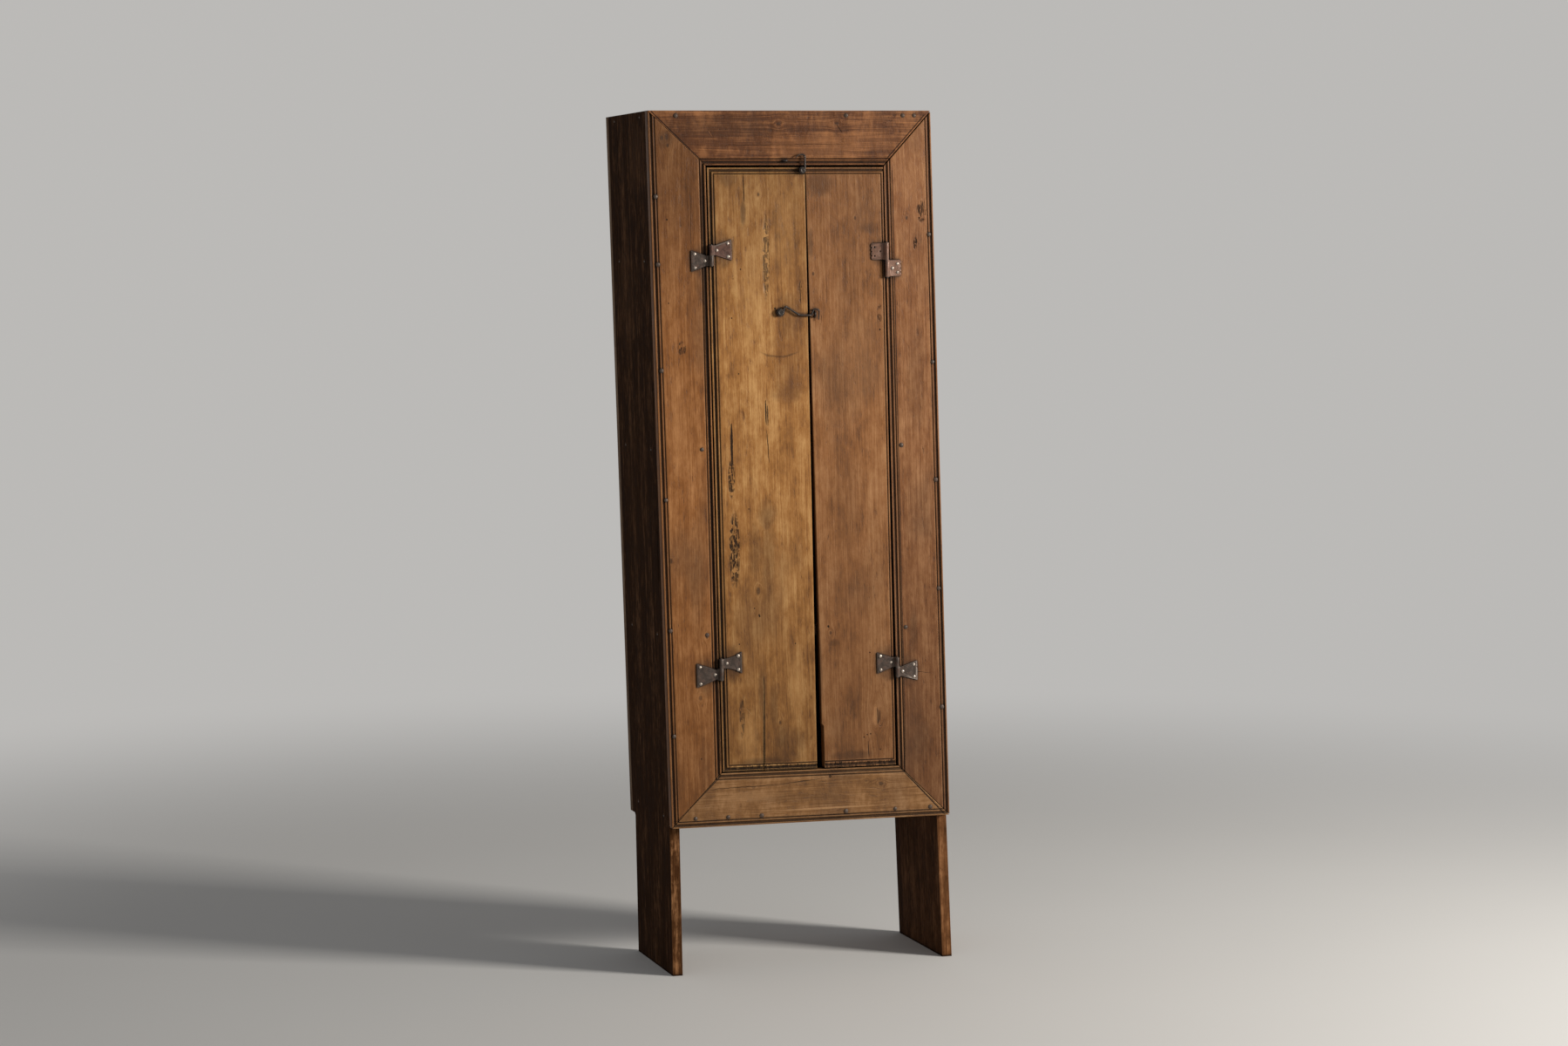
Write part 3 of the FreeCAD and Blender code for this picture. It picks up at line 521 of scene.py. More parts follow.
@dataclass(frozen=True)
class WoodFinish:
    """Old wood, from its fibres to the painted shade in its corners and hollows."""

    name: str
    deep: Colour
    body: Colour
    pale: Colour
    # The dark of the knots, and of the painted shade in corners and hollows.
    knot_and_shade_colour: Colour = (0.011, 0.0055, 0.003)
    dull: Colour = (0.100, 0.048, 0.021)
    grain: Grain = Grain.UPRIGHT
    facing: Facing = Facing.FRONT
    seed: float = 0.0
    figure: float = 1.0
    mottle: float = 1.0
    # Share of the painted shade that darkens corners and creases.
    corner_shade_share: float = 1.0
    # Share of the pale rubbed edges, which also paint highlights on the moulding beads.
    wear: float = 1.0
    # Share of the painted shade in a moulding's hollow.
    hollow_shade_share: float = 0.55
    rough: float = 0.46
    gloss: float = 0.22
    edge: float = 0.0016
    # How far the painted shade of corners and creases reaches.
    corner_shade_reach: float = 0.007
    caked_from: float = 0.8
    lift: Colour | None = None
    # Brightness shares by height: partly painted shade where the light falls off towards the top and the
    # foot.
    height_shade: tuple[Spot, ...] = ()
    knots: tuple[Knot, ...] = ()
    marks: tuple[Mark, ...] = ()

    def _grain_parts(self, x: Value, y: Value, z: Value) -> tuple[Value, Value, Value]:
        """The parts of a point across, into and along the grain."""
        if self.facing is Facing.SIDE:
            return y, x, z
        if self.grain is Grain.UPRIGHT:
            return x + (z - MIDDLE) * LEAN, y, z
        return z, y, x

    def _flow(self, aside: Value, up: Value, across: Value) -> tuple[Value, Value | None]:
        """Bends the grain round the knots.

        Args:
            aside: Metres across the face.
            up: Metres up the face.
            across: Metres across the grain.

        Returns:
            The bent place across the grain, and the knots' mask where there are any.
        """
        mask = None
        for knot in self.knots:
            beside, ahead = aside - knot.at[0], up - knot.at[1]
            if self.grain is Grain.ACROSS:
                beside, ahead = ahead, beside
            ahead = ahead / knot.tall
            away = (beside * beside + ahead * ahead).at_least(knot.size**2 * 0.2)
            pull = beside * (knot.size * 1.9) ** 2 / away
            across = across - pull.at_most(knot.size * 2).at_least(-knot.size * 2)
            spot = away.step((knot.size * 1.1) ** 2, (knot.size * 0.5) ** 2) * knot.dark
            mask = spot if mask is None else mask.at_least(spot)
        return across, mask

    def _ground(self, bench: Bench) -> Ground:
        """Lays out the places and noises that the finish is worked out from."""
        place = bench.node("ShaderNodeTexCoord").outputs["Object"]
        parts = bench.node("ShaderNodeSeparateXYZ", {}, {0: place})
        x, y, z = (Value(bench, parts.outputs[axis]) for axis in range(3))
        across, into, along = self._grain_parts(x, y, z)
        sway = bench.noise(place, 2.1 + self.seed % 1, 1.0)
        ripple = bench.noise(place, 13.0, 2.0)
        across = across + (sway - 0.5) * 0.010 + (ripple - 0.5) * 0.0018
        aside = y if self.facing is Facing.SIDE else x
        across, knotty = self._flow(aside, z, across)
        inputs = {0: across, 1: into + self.seed, 2: along}
        fibres = bench.node("ShaderNodeCombineXYZ", {}, inputs).outputs[0]
        wander = bench.noise(place, 55.0, 3.0, 0.6)
        ragged = bench.noise(place, 700.0, 2.0, 0.6)
        return Ground(
            bench, Face(bench, aside, z, wander, ragged), y, fibres, knotty, ripple,
            knocks=bench.noise(bench.stretched(place, (1.0, 1.0, 0.55)), 120.0, 4.0, 0.6),
            mottle=bench.noise(bench.stretched(place, (1.0, 1.0, 0.45)), 34.0 + self.seed % 3, 5.0, 0.68),
            patch=bench.noise(bench.stretched(place, (1.0, 1.0, 0.4)), 6.0 + self.seed % 2, 3.0, 0.55),
            streak=GrainNoise.STREAK.laid(bench, fibres),
        )

    def _grow(self, ground: Ground) -> None:
        """Lays on the bare wood, from its broad figure to its pores."""
        drawn = (GrainNoise.BROAD, GrainNoise.FIGURE, GrainNoise.VEIN, GrainNoise.FIBRE)
        broad, figure, vein, fibre = (noise.laid(ground.bench, ground.fibres) for noise in drawn)
        mottle, streak = ground.mottle, ground.streak
        tone = (
            0.5
            + ((broad - 0.5) * 0.45 + (figure - 0.5) * 0.34) * self.figure
            + (mottle - 0.5) * 0.75 * self.mottle
            + (ground.knocks - 0.5) * 0.3
            + (vein - 0.5) * 0.45
            + (streak - 0.5) * 0.45
            + (fibre - 0.5) * 0.45
        )
        stops = [(0.18, self.deep), (0.5, self.body), (0.82, self.pale)]
        ground.colour = ground.bench.node("ShaderNodeValToRGB", {"stops": stops}, {0: tone}).outputs[0]
        ground.tint(ground.patch.step(0.5, 0.72) * 0.4, self.dull)
        pores = GrainNoise.SPECK.laid(ground.bench, ground.fibres).step(0.66, 0.76) * 0.4
        flecks = GrainNoise.FLECK.laid(ground.bench, ground.fibres).step(0.57, 0.68)
        flecks = flecks * mottle.step(0.56, 0.40) * 0.85
        ground.tint(pores.at_least(flecks), self.deep)
        height = streak * 0.14 + vein * 0.2 + fibre * 0.08 + ground.ripple * 1.3 + mottle * 0.5
        ground.height = height + ground.knocks * 0.55 - pores * 0.12 - flecks * 0.4

    def _age(self, ground: Ground) -> None:
        """Darkens the wood towards its top and foot, partly painted shade where the light falls off there and
        partly the wood's own darker ends, and lifts a side board's front edge.
        """
        bench = ground.bench
        # Partly painted shade: the wood is darkened towards its top and foot.
        if self.height_shade:
            low, high = self.height_shade[0][0], self.height_shade[-1][0]
            stops = [((height - low) / (high - low), (share, share, share)) for height, share in self.height_shade]
            up = (ground.face.up - low) / (high - low)
            shares = bench.node("ShaderNodeValToRGB", {"stops": stops}, {0: up}).outputs[0]
            ground.colour = bench.blend(1.0, ground.colour, shares, "MULTIPLY")
        if self.lift is not None:
            lifted = bench.blend(1.0, ground.colour, self.lift, "MULTIPLY")
            ground.tint(behind(ground.depth, EDGE_BAND), lifted)

    def _mark(self, ground: Ground, hollow: Value) -> Value:
        """Lays on the knots and the marks.

        Args:
            ground: The finish so far.
            hollow: The hollow of the moulding, darkened with painted shade.

        Returns:
            Where the surface is made rougher: the hollow, under its painted shade, and the darkest marks.
        """
        if ground.knotty is not None:
            rings = ground.bench.noise(ground.fibres, 900.0, 1.0)
            ground.tint(ground.knotty * (rings * 0.5 + 0.6), self.knot_and_shade_colour)
        front = behind(ground.depth, MARK_BAND)
        caked_and_hollow_shade = hollow
        for mark in self.marks:
            mask = mark.mask(ground.face)
            if self.facing is Facing.FRONT:
                mask = mask * front
            if mark.dark > self.caked_from:
                caked_and_hollow_shade = caked_and_hollow_shade.at_least(mask)
            if mark.dark < 0:
                ground.tint(mask * -mark.dark, self.pale)
            else:
                ground.tint(mask * mark.dark, mark.tint)
            if mark.deep:
                ground.height = ground.height - mask * mark.deep
        return caked_and_hollow_shade

    def material(self) -> bpy.types.Material:
        """Builds the finish.

        Returns:
            The material.
        """
        bench, material = Bench.of_material(self.name)
        ground = self._ground(bench)
        wander = ground.face.wander
        self._grow(ground)
        self._age(ground)
        # Painted shade: the moulding's hollow, found by its depth, is darkened.
        hollow = behind(ground.depth, HOLLOW_START) * behind(ground.depth, HOLLOW_END)
        hollow = hollow * (wander + 0.5).at_most(1.0) * self.hollow_shade_share
        caked_and_hollow_shade = self._mark(ground, hollow)

        softened, alike = bench.edges(self.edge)
        # Painted shade: ambient occlusion darkens corners, creases and the wood between parts.
        reach = {"Distance": self.corner_shade_reach}
        shade = bench.value("ShaderNodeAmbientOcclusion", {"samples": 6}, reach, 1)
        ground.tint(hollow, self.knot_and_shade_colour)
        # Pale rubbed edges, made strong enough to stand in for highlights on the beads: partly real wear,
        # partly painted highlight.
        worn = alike.step(0.995, 0.94) * shade.step(0.5, 0.75) * (wander * 1.9).at_most(1.0)
        ground.tint(worn * 0.95 * self.wear, self.pale)
        # Lays on the painted shade of corners and creases.
        corner_shade = shade.step(0.975, 0.62) * (1.05 + (wander - 0.5) * 0.8)
        ground.tint((corner_shade * self.corner_shade_share).at_most(0.98), self.knot_and_shade_colour)
        rough = self.rough + (ground.streak - 0.5) * 0.2 + (ground.mottle - 0.5) * 0.3 + corner_shade * 0.25
        rough = (rough + ground.patch.step(0.5, 0.7) * 0.08 + caked_and_hollow_shade * 0.4).at_most(1.0)
        sockets = {"Base Color": ground.colour, "Roughness": rough, "Specular IOR Level": self.gloss}
        bench.finish(sockets, ground.height, softened)
        return material


@dataclass(frozen=True)
class IronFinish:
    """Hand-forged iron: dark skin, rust and bright rubbed edges."""

    name: str
    body: Colour = (0.048, 0.033, 0.025)
    rust: Colour = (0.070, 0.031, 0.017)
    bright: Colour = (0.38, 0.32, 0.27)
    rusty: float = 0.5
    rough: float = 0.46
    metal: float = 0.45
    rubbed: float = 0.6
    dents: float = 0.25
    edge: float = 0.0007

    def material(self) -> bpy.types.Material:
        """Builds the finish.

        Returns:
            The material.
        """
        bench, material = Bench.of_material(self.name)
        place = bench.node("ShaderNodeTexCoord").outputs["Object"]
        coarse = bench.noise(place, 120.0, 4.0, 0.65)
        fine = bench.noise(place, 900.0, 3.0, 0.6)
        cells = {"Vector": place, "Scale": 190.0}
        hammer = bench.value("ShaderNodeTexVoronoi", {"feature": "SMOOTH_F1"}, cells)
        rust = (coarse + (fine - 0.5) * 0.5).step(0.62 - self.rusty * 0.2, 0.72 - self.rusty * 0.1)
        softened, alike = bench.edges(self.edge)
        rubbed = alike.step(0.985, 0.86) * (1 - rust * 0.6) * self.rubbed
        colour = bench.blend(coarse.step(0.35, 0.7), self.body, tuple(c * 1.7 for c in self.body))
        colour = bench.blend(rust * 0.85, colour, self.rust)
        colour = bench.blend((fine.step(0.62, 0.72) * 0.35 + rubbed).at_most(1.0), colour, self.bright)
        metal = (self.metal - rust * 0.5).at_least(0.0)
        rough = self.rough + rust * 0.3 + (fine - 0.5) * 0.3 - rubbed * 0.12
        height = hammer * self.dents + fine * 0.06 + rust * fine * 0.12
        sockets = {"Base Color": colour, "Metallic": metal, "Roughness": rough}
        bench.finish(sockets, height, softened)
        return material


@dataclass(frozen=True)
class FloorFinish:
    """A pale studio floor that passes into the background far from the object."""

    name: str
    colour: Colour
    background: Colour
    near: float = 1.4
    far: float = 4.6

    def material(self) -> bpy.types.Material:
        """Builds the finish.

        Returns:
            The material.
        """
        bench, material = Bench.of_material(self.name)
        place = bench.node("ShaderNodeTexCoord").outputs["Object"]
        cloud = bench.noise(place, 1.3, 2.0)
        colour = bench.blend(cloud, self.colour, tuple(c * 0.96 for c in self.colour))
        floor = bench.node("ShaderNodeBsdfPrincipled", {}, {"Base Color": colour, "Roughness": 0.9})
        glow = bench.node("ShaderNodeEmission", {}, {"Color": self.background})
        away = bench.value("ShaderNodeVectorMath", {"operation": "LENGTH"}, {0: place}, "Value")
        share = away.step(self.near, self.far) * bench.ray("Camera")
        surface = bench.mixed(share, floor, glow)
        bench.node("ShaderNodeOutputMaterial", {}, {"Surface": surface})
        return material


def wear(mesh: bpy.types.Mesh, material: bpy.types.Material) -> None:
    """Makes a material the only one of a mesh."""
    mesh.materials.clear()
    mesh.materials.append(material)


def made_object(name: str, mesh: bpy.types.Mesh, material: bpy.types.Material) -> bpy.types.Object:
    """An object at the origin with one material.

    Args:
        name: The object's name.
        mesh: Its mesh.
        material: Its only material.

    Returns:
        The object, in the scene.
    """
    wear(mesh, material)
    made = bpy.data.objects.new(name, mesh)
    bpy.context.scene.collection.objects.link(made)
    return made


def settled(rough: bpy.types.Object, name: str, material: bpy.types.Material) -> bpy.types.Object:
    """Turns an object's modifiers into a plain mesh and removes the object.

    Args:
        rough: The object with modifiers.
        name: The new object's name.
        material: The new object's material.

    Returns:
        The plain object.
    """
    graph = bpy.context.evaluated_depsgraph_get()
    mesh = bpy.data.meshes.new_from_object(rough.evaluated_get(graph))
    bpy.data.objects.remove(rough)
    return made_object(name, mesh, material)


class GeometryRecipe:
    """A Geometry Nodes tree with named inputs that is laid on a mesh."""

    def __init__(self, name: str, sizes: Sequence[str]) -> None:
        """Makes the empty tree with its inputs and its output.

        Args:
            name: The name of the tree.
            sizes: The names of its number inputs, which come before that of the material.
        """
        self.tree = bpy.data.node_groups.new(name, "GeometryNodeTree")
        self.bench = Bench(self.tree)
        self.tree.interface.new_socket("Geometry", in_out="INPUT", socket_type="NodeSocketGeometry")
        self.tree.interface.new_socket("Geometry", in_out="OUTPUT", socket_type="NodeSocketGeometry")
        self.identifiers = {size: self._input(size, "NodeSocketFloat") for size in sizes}
        self.identifiers["Material"] = self._input("Material", "NodeSocketMaterial")

    def _input(self, name: str, kind: str) -> str:
        """Adds a named input and gives its identifier."""
        return self.tree.interface.new_socket(name, in_out="INPUT", socket_type=kind).identifier

    def close(self, shape: bpy.types.NodeSocket, material: bpy.types.NodeSocket) -> None:
        """Ends the tree: real geometry, its material and the output."""
        real = self.bench.node("GeometryNodeRealizeInstances", {}, {0: shape})
        inputs = {0: real.outputs[0], "Material": material}
        dressed = self.bench.node("GeometryNodeSetMaterial", {}, inputs)
        self.bench.node("NodeGroupOutput", {}, {0: dressed.outputs[0]})

    def laid_on(
        self, mesh: bpy.types.Mesh, name: str, sizes: dict[str, Any], material: bpy.types.Material
    ) -> bpy.types.Object:
        """Runs the tree on a mesh.

        Args:
            mesh: The mesh that it starts from.
            name: The name of the piece.
            sizes: The named inputs' values.
            material: The piece's material.

        Returns:
            The finished piece, as a plain mesh.
        """
        rough = bpy.data.objects.new(name + "_rough", mesh)
        bpy.context.scene.collection.objects.link(rough)
        modifier = rough.modifiers.new("recipe", "NODES")
        modifier.node_group = self.tree
        for key, item in {**sizes, "Material": material}.items():
            modifier[self.identifiers[key]] = item
        return settled(rough, name, material)


class NailRecipe(GeometryRecipe):
    """Uneven domed heads on every point of a mesh."""

    segments: int = 14
    rings: int = 8
    tilt: float = 0.12
    turn: float = 6.28
    smallest: float = 0.9
    largest: float = 1.08

    def __init__(self) -> None:
        """Builds the tree."""
        super().__init__("nail_heads", ("Radius", "Height", "Unevenness"))
        bench = self.bench
        given = bench.node("NodeGroupInput").outputs
        inputs = {"Segments": self.segments, "Rings": self.rings, "Radius": 1.0}
        ball = bench.node("GeometryNodeMeshUVSphere", {}, inputs)
        inputs = {0: given["Radius"], 1: given["Height"], 2: given["Radius"]}
        scale = bench.node("ShaderNodeCombineXYZ", {}, inputs)
        inputs = {"Geometry": ball.outputs[0], "Scale": scale.outputs[0]}
        dome = bench.node("GeometryNodeTransform", {}, inputs)
        inputs = {0: (-self.tilt, 0.0, -self.tilt), 1: (self.tilt, self.turn, self.tilt), "Seed": 4}
        turn = bench.node("FunctionNodeRandomValue", {"data_type": "FLOAT_VECTOR"}, inputs)
        inputs = {2: self.smallest, 3: self.largest, "Seed": 9}
        grow = bench.node("FunctionNodeRandomValue", {"data_type": "FLOAT"}, inputs)
        points = bench.node("GeometryNodeMeshToPoints", {}, {"Mesh": given["Geometry"]})
        inputs = {
            "Points": points.outputs[0], "Instance": dome.outputs[0],
            "Rotation": turn.outputs[0], "Scale": grow.outputs[1],
        }
        heads = bench.node("GeometryNodeInstanceOnPoints", {}, inputs)
        real = bench.node("GeometryNodeRealizeInstances", {}, {0: heads.outputs[0]})
        place = bench.node("GeometryNodeInputPosition").outputs[0]
        rough = bench.node("ShaderNodeTexNoise", {}, {"Vector": place, "Scale": 330.0, "Detail": 2.0})
        inputs = {0: rough.outputs[1], 1: (0.5, 0.5, 0.5)}
        centred = bench.node("ShaderNodeVectorMath", {"operation": "SUBTRACT"}, inputs)
        inputs = {0: centred.outputs[0], "Scale": given["Unevenness"]}
        shift = bench.node("ShaderNodeVectorMath", {"operation": "SCALE"}, inputs)
        inputs = {"Geometry": real.outputs[0], "Offset": shift.outputs[0]}
        uneven = bench.node("GeometryNodeSetPosition", {}, inputs)
        smooth = bench.node("GeometryNodeSetShadeSmooth", {}, {0: uneven.outputs[0]})
        self.close(smooth.outputs[0], given["Material"])


class RodRecipe(GeometryRecipe):
    """A forged rod along a path of edges, drawn out to a point at its end."""

    stride: float = 0.0011
    sides: int = 12
    past_end: float = 1.0001

    def __init__(self) -> None:
        """Builds the tree."""
        super().__init__("forged_rod", ("Rod", "Taper", "Taper Start", "Unevenness"))
        bench = self.bench
        given = bench.node("NodeGroupInput").outputs
        path = bench.node("GeometryNodeMeshToCurve", {}, {"Mesh": given["Geometry"]})
        settings = {"spline_type": "CATMULL_ROM"}
        curved = bench.node("GeometryNodeCurveSplineType", settings, {0: path.outputs[0]})
        inputs = {"Curve": curved.outputs[0], "Length": self.stride}
        even = bench.node("GeometryNodeResampleCurve", {"mode": "LENGTH"}, inputs)
        share = Value(bench, bench.node("GeometryNodeSplineParameter").outputs[0])
        given_start, given_taper = Value(bench, given["Taper Start"]), Value(bench, given["Taper"])
        # The end counts as just past 1, so that a taper that starts there doesn't divide by 0.
        drawn = ((share - given_start) / (self.past_end - given_start)).at_least(0.0)
        place = bench.node("GeometryNodeInputPosition").outputs[0]
        rough = bench.noise(place, 260.0, 2.0)
        swell = 1 + (rough - 0.5) * Value(bench, given["Unevenness"])
        radius = Value(bench, given["Rod"]) * (1 - drawn * given_taper) * swell
        ring = bench.node("GeometryNodeCurvePrimitiveCircle", {}, {"Resolution": self.sides, "Radius": 1.0})
        inputs = {"Curve": even.outputs[0], "Profile Curve": ring.outputs[0], "Scale": radius}
        tube = bench.node("GeometryNodeCurveToMesh", {}, {**inputs, "Fill Caps": True})
        smooth = bench.node("GeometryNodeSetShadeSmooth", {}, {0: tube.outputs[0]})
        self.close(smooth.outputs[0], given["Material"])


def path_mesh(name: str, points: Sequence[Vector]) -> bpy.types.Mesh:
    """A mesh of edges from point to point."""
    mesh = bpy.data.meshes.new(name)
    edges = [(number, number + 1) for number in range(len(points) - 1)]
    mesh.from_pydata([tuple(point) for point in points], edges, [])
    return mesh


def rounded(corners: Sequence[Vector], bends: Sequence[float]) -> list[Vector]:
    """The points of a path whose inner corners are rounded.

    Args:
        corners: The path's corners.
        bends: The radius at each corner.

    Returns:
        The points.
    """
    points = [corners[0]]
    for number in range(1, len(corners) - 1):
        corner = corners[number]
        arrive = (corner - corners[number - 1]).normalized()
        leave = (corners[number + 1] - corner).normalized()
        turn = arrive.angle(leave)
        bend = bends[number]
        start = corner - arrive * (bend * math.tan(turn / 2))
        outward = arrive.cross(leave).normalized().cross(arrive)
        centre = start + outward * bend
        steps = max(2, round(turn * 5))
        for step in range(steps + 1):
            angle = turn * step / steps
            points.append(centre - outward * (bend * math.cos(angle)) + arrive * (bend * math.sin(angle)))
    return points + [corners[-1]]


def welded(node: str) -> bmesh.types.BMesh:
    """The mesh of a node with its loose triangles joined."""
    shape = bmesh.new()
    shape.from_mesh(bpy.data.objects[node].data)
    bmesh.ops.remove_doubles(shape, verts=shape.verts[:], dist=SAME_POINT)
    return shape


def corner(board: str, side: int, up: int) -> Vector:
    """The corner of a board that lies farthest to one side and up or down.

    Args:
        board: The node of the board.
        side: 1 for the right and -1 for the left.
        up: 1 for the top and -1 for the foot.

    Returns:
        The corner.
    """
    points = [vertex.co for vertex in bpy.data.objects[board].data.vertices]
    return max(points, key=lambda point: point.x * side + point.z * up)


def islands(node: str) -> list[tuple[Vector, Vector]]:
    """The lowest and highest corner of each separate solid of a node.

    Args:
        node: The node's name.

    Returns:
        One pair of corners for each solid, from the lowest up, then from left to right and front to back.
    """
    shape = welded(node)
    left = set(shape.verts)
    boxes = []
    while left:
        queue, found = [left.pop()], []
        while queue:
            vertex = queue.pop()
            found.append(vertex.co.copy())
            for edge in vertex.link_edges:
                other = edge.other_vert(vertex)
                if other in left:
                    left.remove(other)
                    queue.append(other)
        low = Vector([min(point[axis] for point in found) for axis in range(3)])
        high = Vector([max(point[axis] for point in found) for axis in range(3)])
        boxes.append((low, high))
    shape.free()
    return sorted(boxes, key=lambda box: (round(box[0].z, 4), round(box[0].x, 4), box[0].y))


@dataclass
class PlankWork:
    """Every board of the cupboard and the finish that it wears."""

    finishes: dict[str, WoodFinish]

    def dress(self, nodes: dict[str, bpy.types.Object]) -> None:
        """Gives every board its own material.

        Args:
            nodes: The solids by name.
        """
        for name, finish in self.finishes.items():
            wear(nodes[name].data, finish.material())
            LOG.info("board %s wears %s", name, finish.name)


@dataclass
class NailWork:
    """The domed nails of the frame and of the hinge leaves."""

    head_high: float = 0.002
    uneven: float = 0.0011
    radii: dict[str, float] = field(default_factory=lambda: {
        "frame_nails": 0.0046,
        "frame_leaf_nails": 0.0037,
        "left_leaf_nails": 0.0037,
        "right_leaf_nails": 0.0037,
    })
    bodies: dict[str, str] = field(default_factory=lambda: {
        "frame_nails": "case",
        "frame_leaf_nails": "case",
        "left_leaf_nails": "left_door",
        "right_leaf_nails": "right_door",
    })

    def build(self, dark: bpy.types.Material, bright: bpy.types.Material) -> None:
        """Makes the heads of every group of domed nails.

        Args:
            dark: The finish of the frame's nails.
            bright: The finish of the rubbed nails in the hinges.
        """
        recipe = NailRecipe()
        for node, radius in self.radii.items():
            mesh = bpy.data.meshes.new(node + "_spots")
            spots = []
            for low, high in islands(node):
                middle = (low + high) / 2
                spots.append((middle.x, low.y + self.head_high, middle.z))
            mesh.from_pydata(spots, [], [])
            sizes = {"Radius": radius, "Height": self.head_high, "Unevenness": self.uneven}
            material = dark if node == "frame_nails" else bright
            heads = recipe.laid_on(mesh, node + "_heads", sizes, material)
            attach(heads, self.bodies[node])
            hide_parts(node)
            LOG.info("%s: %d heads", node, len(spots))


@dataclass
class HingeWork:
    """The hinge leaves, as plates with softened edges."""

    edge: float = 0.00045
    flat: float = math.radians(1.0)
    sharp: float = math.radians(45)
    names: tuple[str, ...] = ("top_left", "low_left", "top_right", "low_right")

    def _forged(self, node: str, material: bpy.types.Material) -> bpy.types.Object:
        """A copy of a solid with rounded edges."""
        shape = welded(node)
        bmesh.ops.dissolve_limit(shape, angle_limit=self.flat, verts=shape.verts[:], edges=shape.edges[:])
        mesh = bpy.data.meshes.new(node + "_forged")
        shape.to_mesh(mesh)
        shape.free()
        mesh.polygons.foreach_set("use_smooth", [True] * len(mesh.polygons))
        rough = bpy.data.objects.new(node + "_rough", mesh)
        bpy.context.scene.collection.objects.link(rough)
        bevel = rough.modifiers.new("edges", "BEVEL")
        bevel.width = self.edge
        bevel.segments = 2
        bevel.limit_method = "ANGLE"
        bevel.angle_limit = self.sharp
        bevel.harden_normals = True
        return settled(rough, node + "_forged", material)

    def build(self, plate: bpy.types.Material, reds: dict[str, bpy.types.Material]) -> None:
        """Makes every leaf.

        Args:
            plate: The finish of most leaves.
            reds: The redder finishes, by the leaves that wear them.
        """
        for hinge in self.names:
            side = "left_door" if hinge.endswith("left") else "right_door"
            for half, body in (("door", side), ("frame", "case")):
                node = f"hinge_{hinge}_{half}_leaf"
                leaf = self._forged(node, reds.get(node, plate))
                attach(leaf, body)
                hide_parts(node)
                LOG.info("%s: %d faces", node, len(leaf.data.polygons))


@dataclass
class HookWork:
    """A hook of one forged rod, whose eye goes round a stud.

    Its shares give each corner of the rod, across and up from the stud, and the bend there, as shares of
    the hook's length. Its eye is open for a part of its turn.
    """

    node: str
    stud: str
    body: str
    eye: float
    rod: float
    long: float
    shares: tuple[tuple[float, float, float], ...]
    opens: float = 0.22
    leaves: float = 0.97
    steps: int = 12
    taper: float = 0.45
    taper_start: float = 0.72
    uneven: float = 0.22

    def _path(self) -> list[Vector]:
        """The line that the rod follows, from the end of its eye to its point."""
        low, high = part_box(self.stud)
        own_low, own_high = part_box(self.node)
        centre = Vector(((low.x + high.x) / 2, (own_low.y + own_high.y) / 2, (low.z + high.z) / 2))
        right, up = Vector((1, 0, 0)), Vector((0, 0, 1))
        eye = []
        for step in range(self.steps + 1):
            angle = 2 * math.pi * (self.opens + (self.leaves - self.opens) * step / self.steps)
            eye.append(centre + right * (self.eye * math.cos(angle)) + up * (self.eye * math.sin(angle)))
        corners, bends = [eye[-1]], [0.0]
        for across_share, up_share, bend_share in self.shares:
            corners.append(centre + right * (self.long * across_share) + up * (self.long * up_share))
            bends.append(self.long * bend_share)
        return eye[:-1] + rounded(corners, bends)

    def build(self, recipe: RodRecipe, material: bpy.types.Material) -> None:
        """Makes the hook.

        Args:
            recipe: The recipe of a forged rod.
            material: Its finish.
        """
        sizes = {
            "Rod": self.rod, "Taper": self.taper, "Taper Start": self.taper_start, "Unevenness": self.uneven,
        }
        path = path_mesh(self.node + "_path", self._path())
        hook = recipe.laid_on(path, self.node + "_rod", sizes, material)
        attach(hook, self.body)
        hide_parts(self.node)
        LOG.info("%s: %d faces", self.node, len(hook.data.polygons))


@dataclass
class StapleWork:
    """A staple of round rod whose two legs stand in the wood."""

    node: str
    body: str
    upright: bool
    rod: float = 0.0018
    wide: float = 0.009
    bend: float = 0.0036
    sunk: float = 0.006
    uneven: float = 0.2

    def build(self, recipe: RodRecipe, material: bpy.types.Material) -> None:
        """Makes the staple.

        Args:
            recipe: The recipe of a forged rod.
            material: Its finish.
        """
        low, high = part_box(self.node)
        middle = (low + high) / 2
        way = Vector((0, 0, 1)) if self.upright else Vector((1, 0, 0))
        half = way * (self.wide / 2)
        root = Vector((middle.x, FACE + self.sunk, middle.z))
        crown = Vector((middle.x, low.y + self.rod, middle.z))
        points = rounded([root - half, crown - half, crown + half, root + half], [0, self.bend, self.bend, 0])
        sizes = {"Rod": self.rod, "Taper": 0.0, "Taper Start": 0.5, "Unevenness": self.uneven}
        path = path_mesh(self.node + "_path", points)
        piece = recipe.laid_on(path, self.node + "_rod", sizes, material)
        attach(piece, self.body)
        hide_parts(self.node)
        LOG.info("%s: %d faces", self.node, len(piece.data.polygons))


@dataclass(frozen=True)
class Lamp:
    """One soft square lamp."""

    name: str
    at: tuple[float, float, float]
    aim: tuple[float, float, float]
    wide: float
    power: float
    colour: Colour

    def hang(self) -> None:
        """Puts the lamp in the scene."""
        data = bpy.data.lights.new(self.name, "AREA")
        data.size = self.wide
        data.energy = self.power
        data.color = self.colour
        lamp = bpy.data.objects.new(self.name, data)
        way = Vector(self.aim) - Vector(self.at)
        turn = way.to_track_quat("-Z", "Y").to_matrix().to_4x4()
        lamp.matrix_world = Matrix.Translation(self.at) @ turn
        bpy.context.scene.collection.objects.link(lamp)


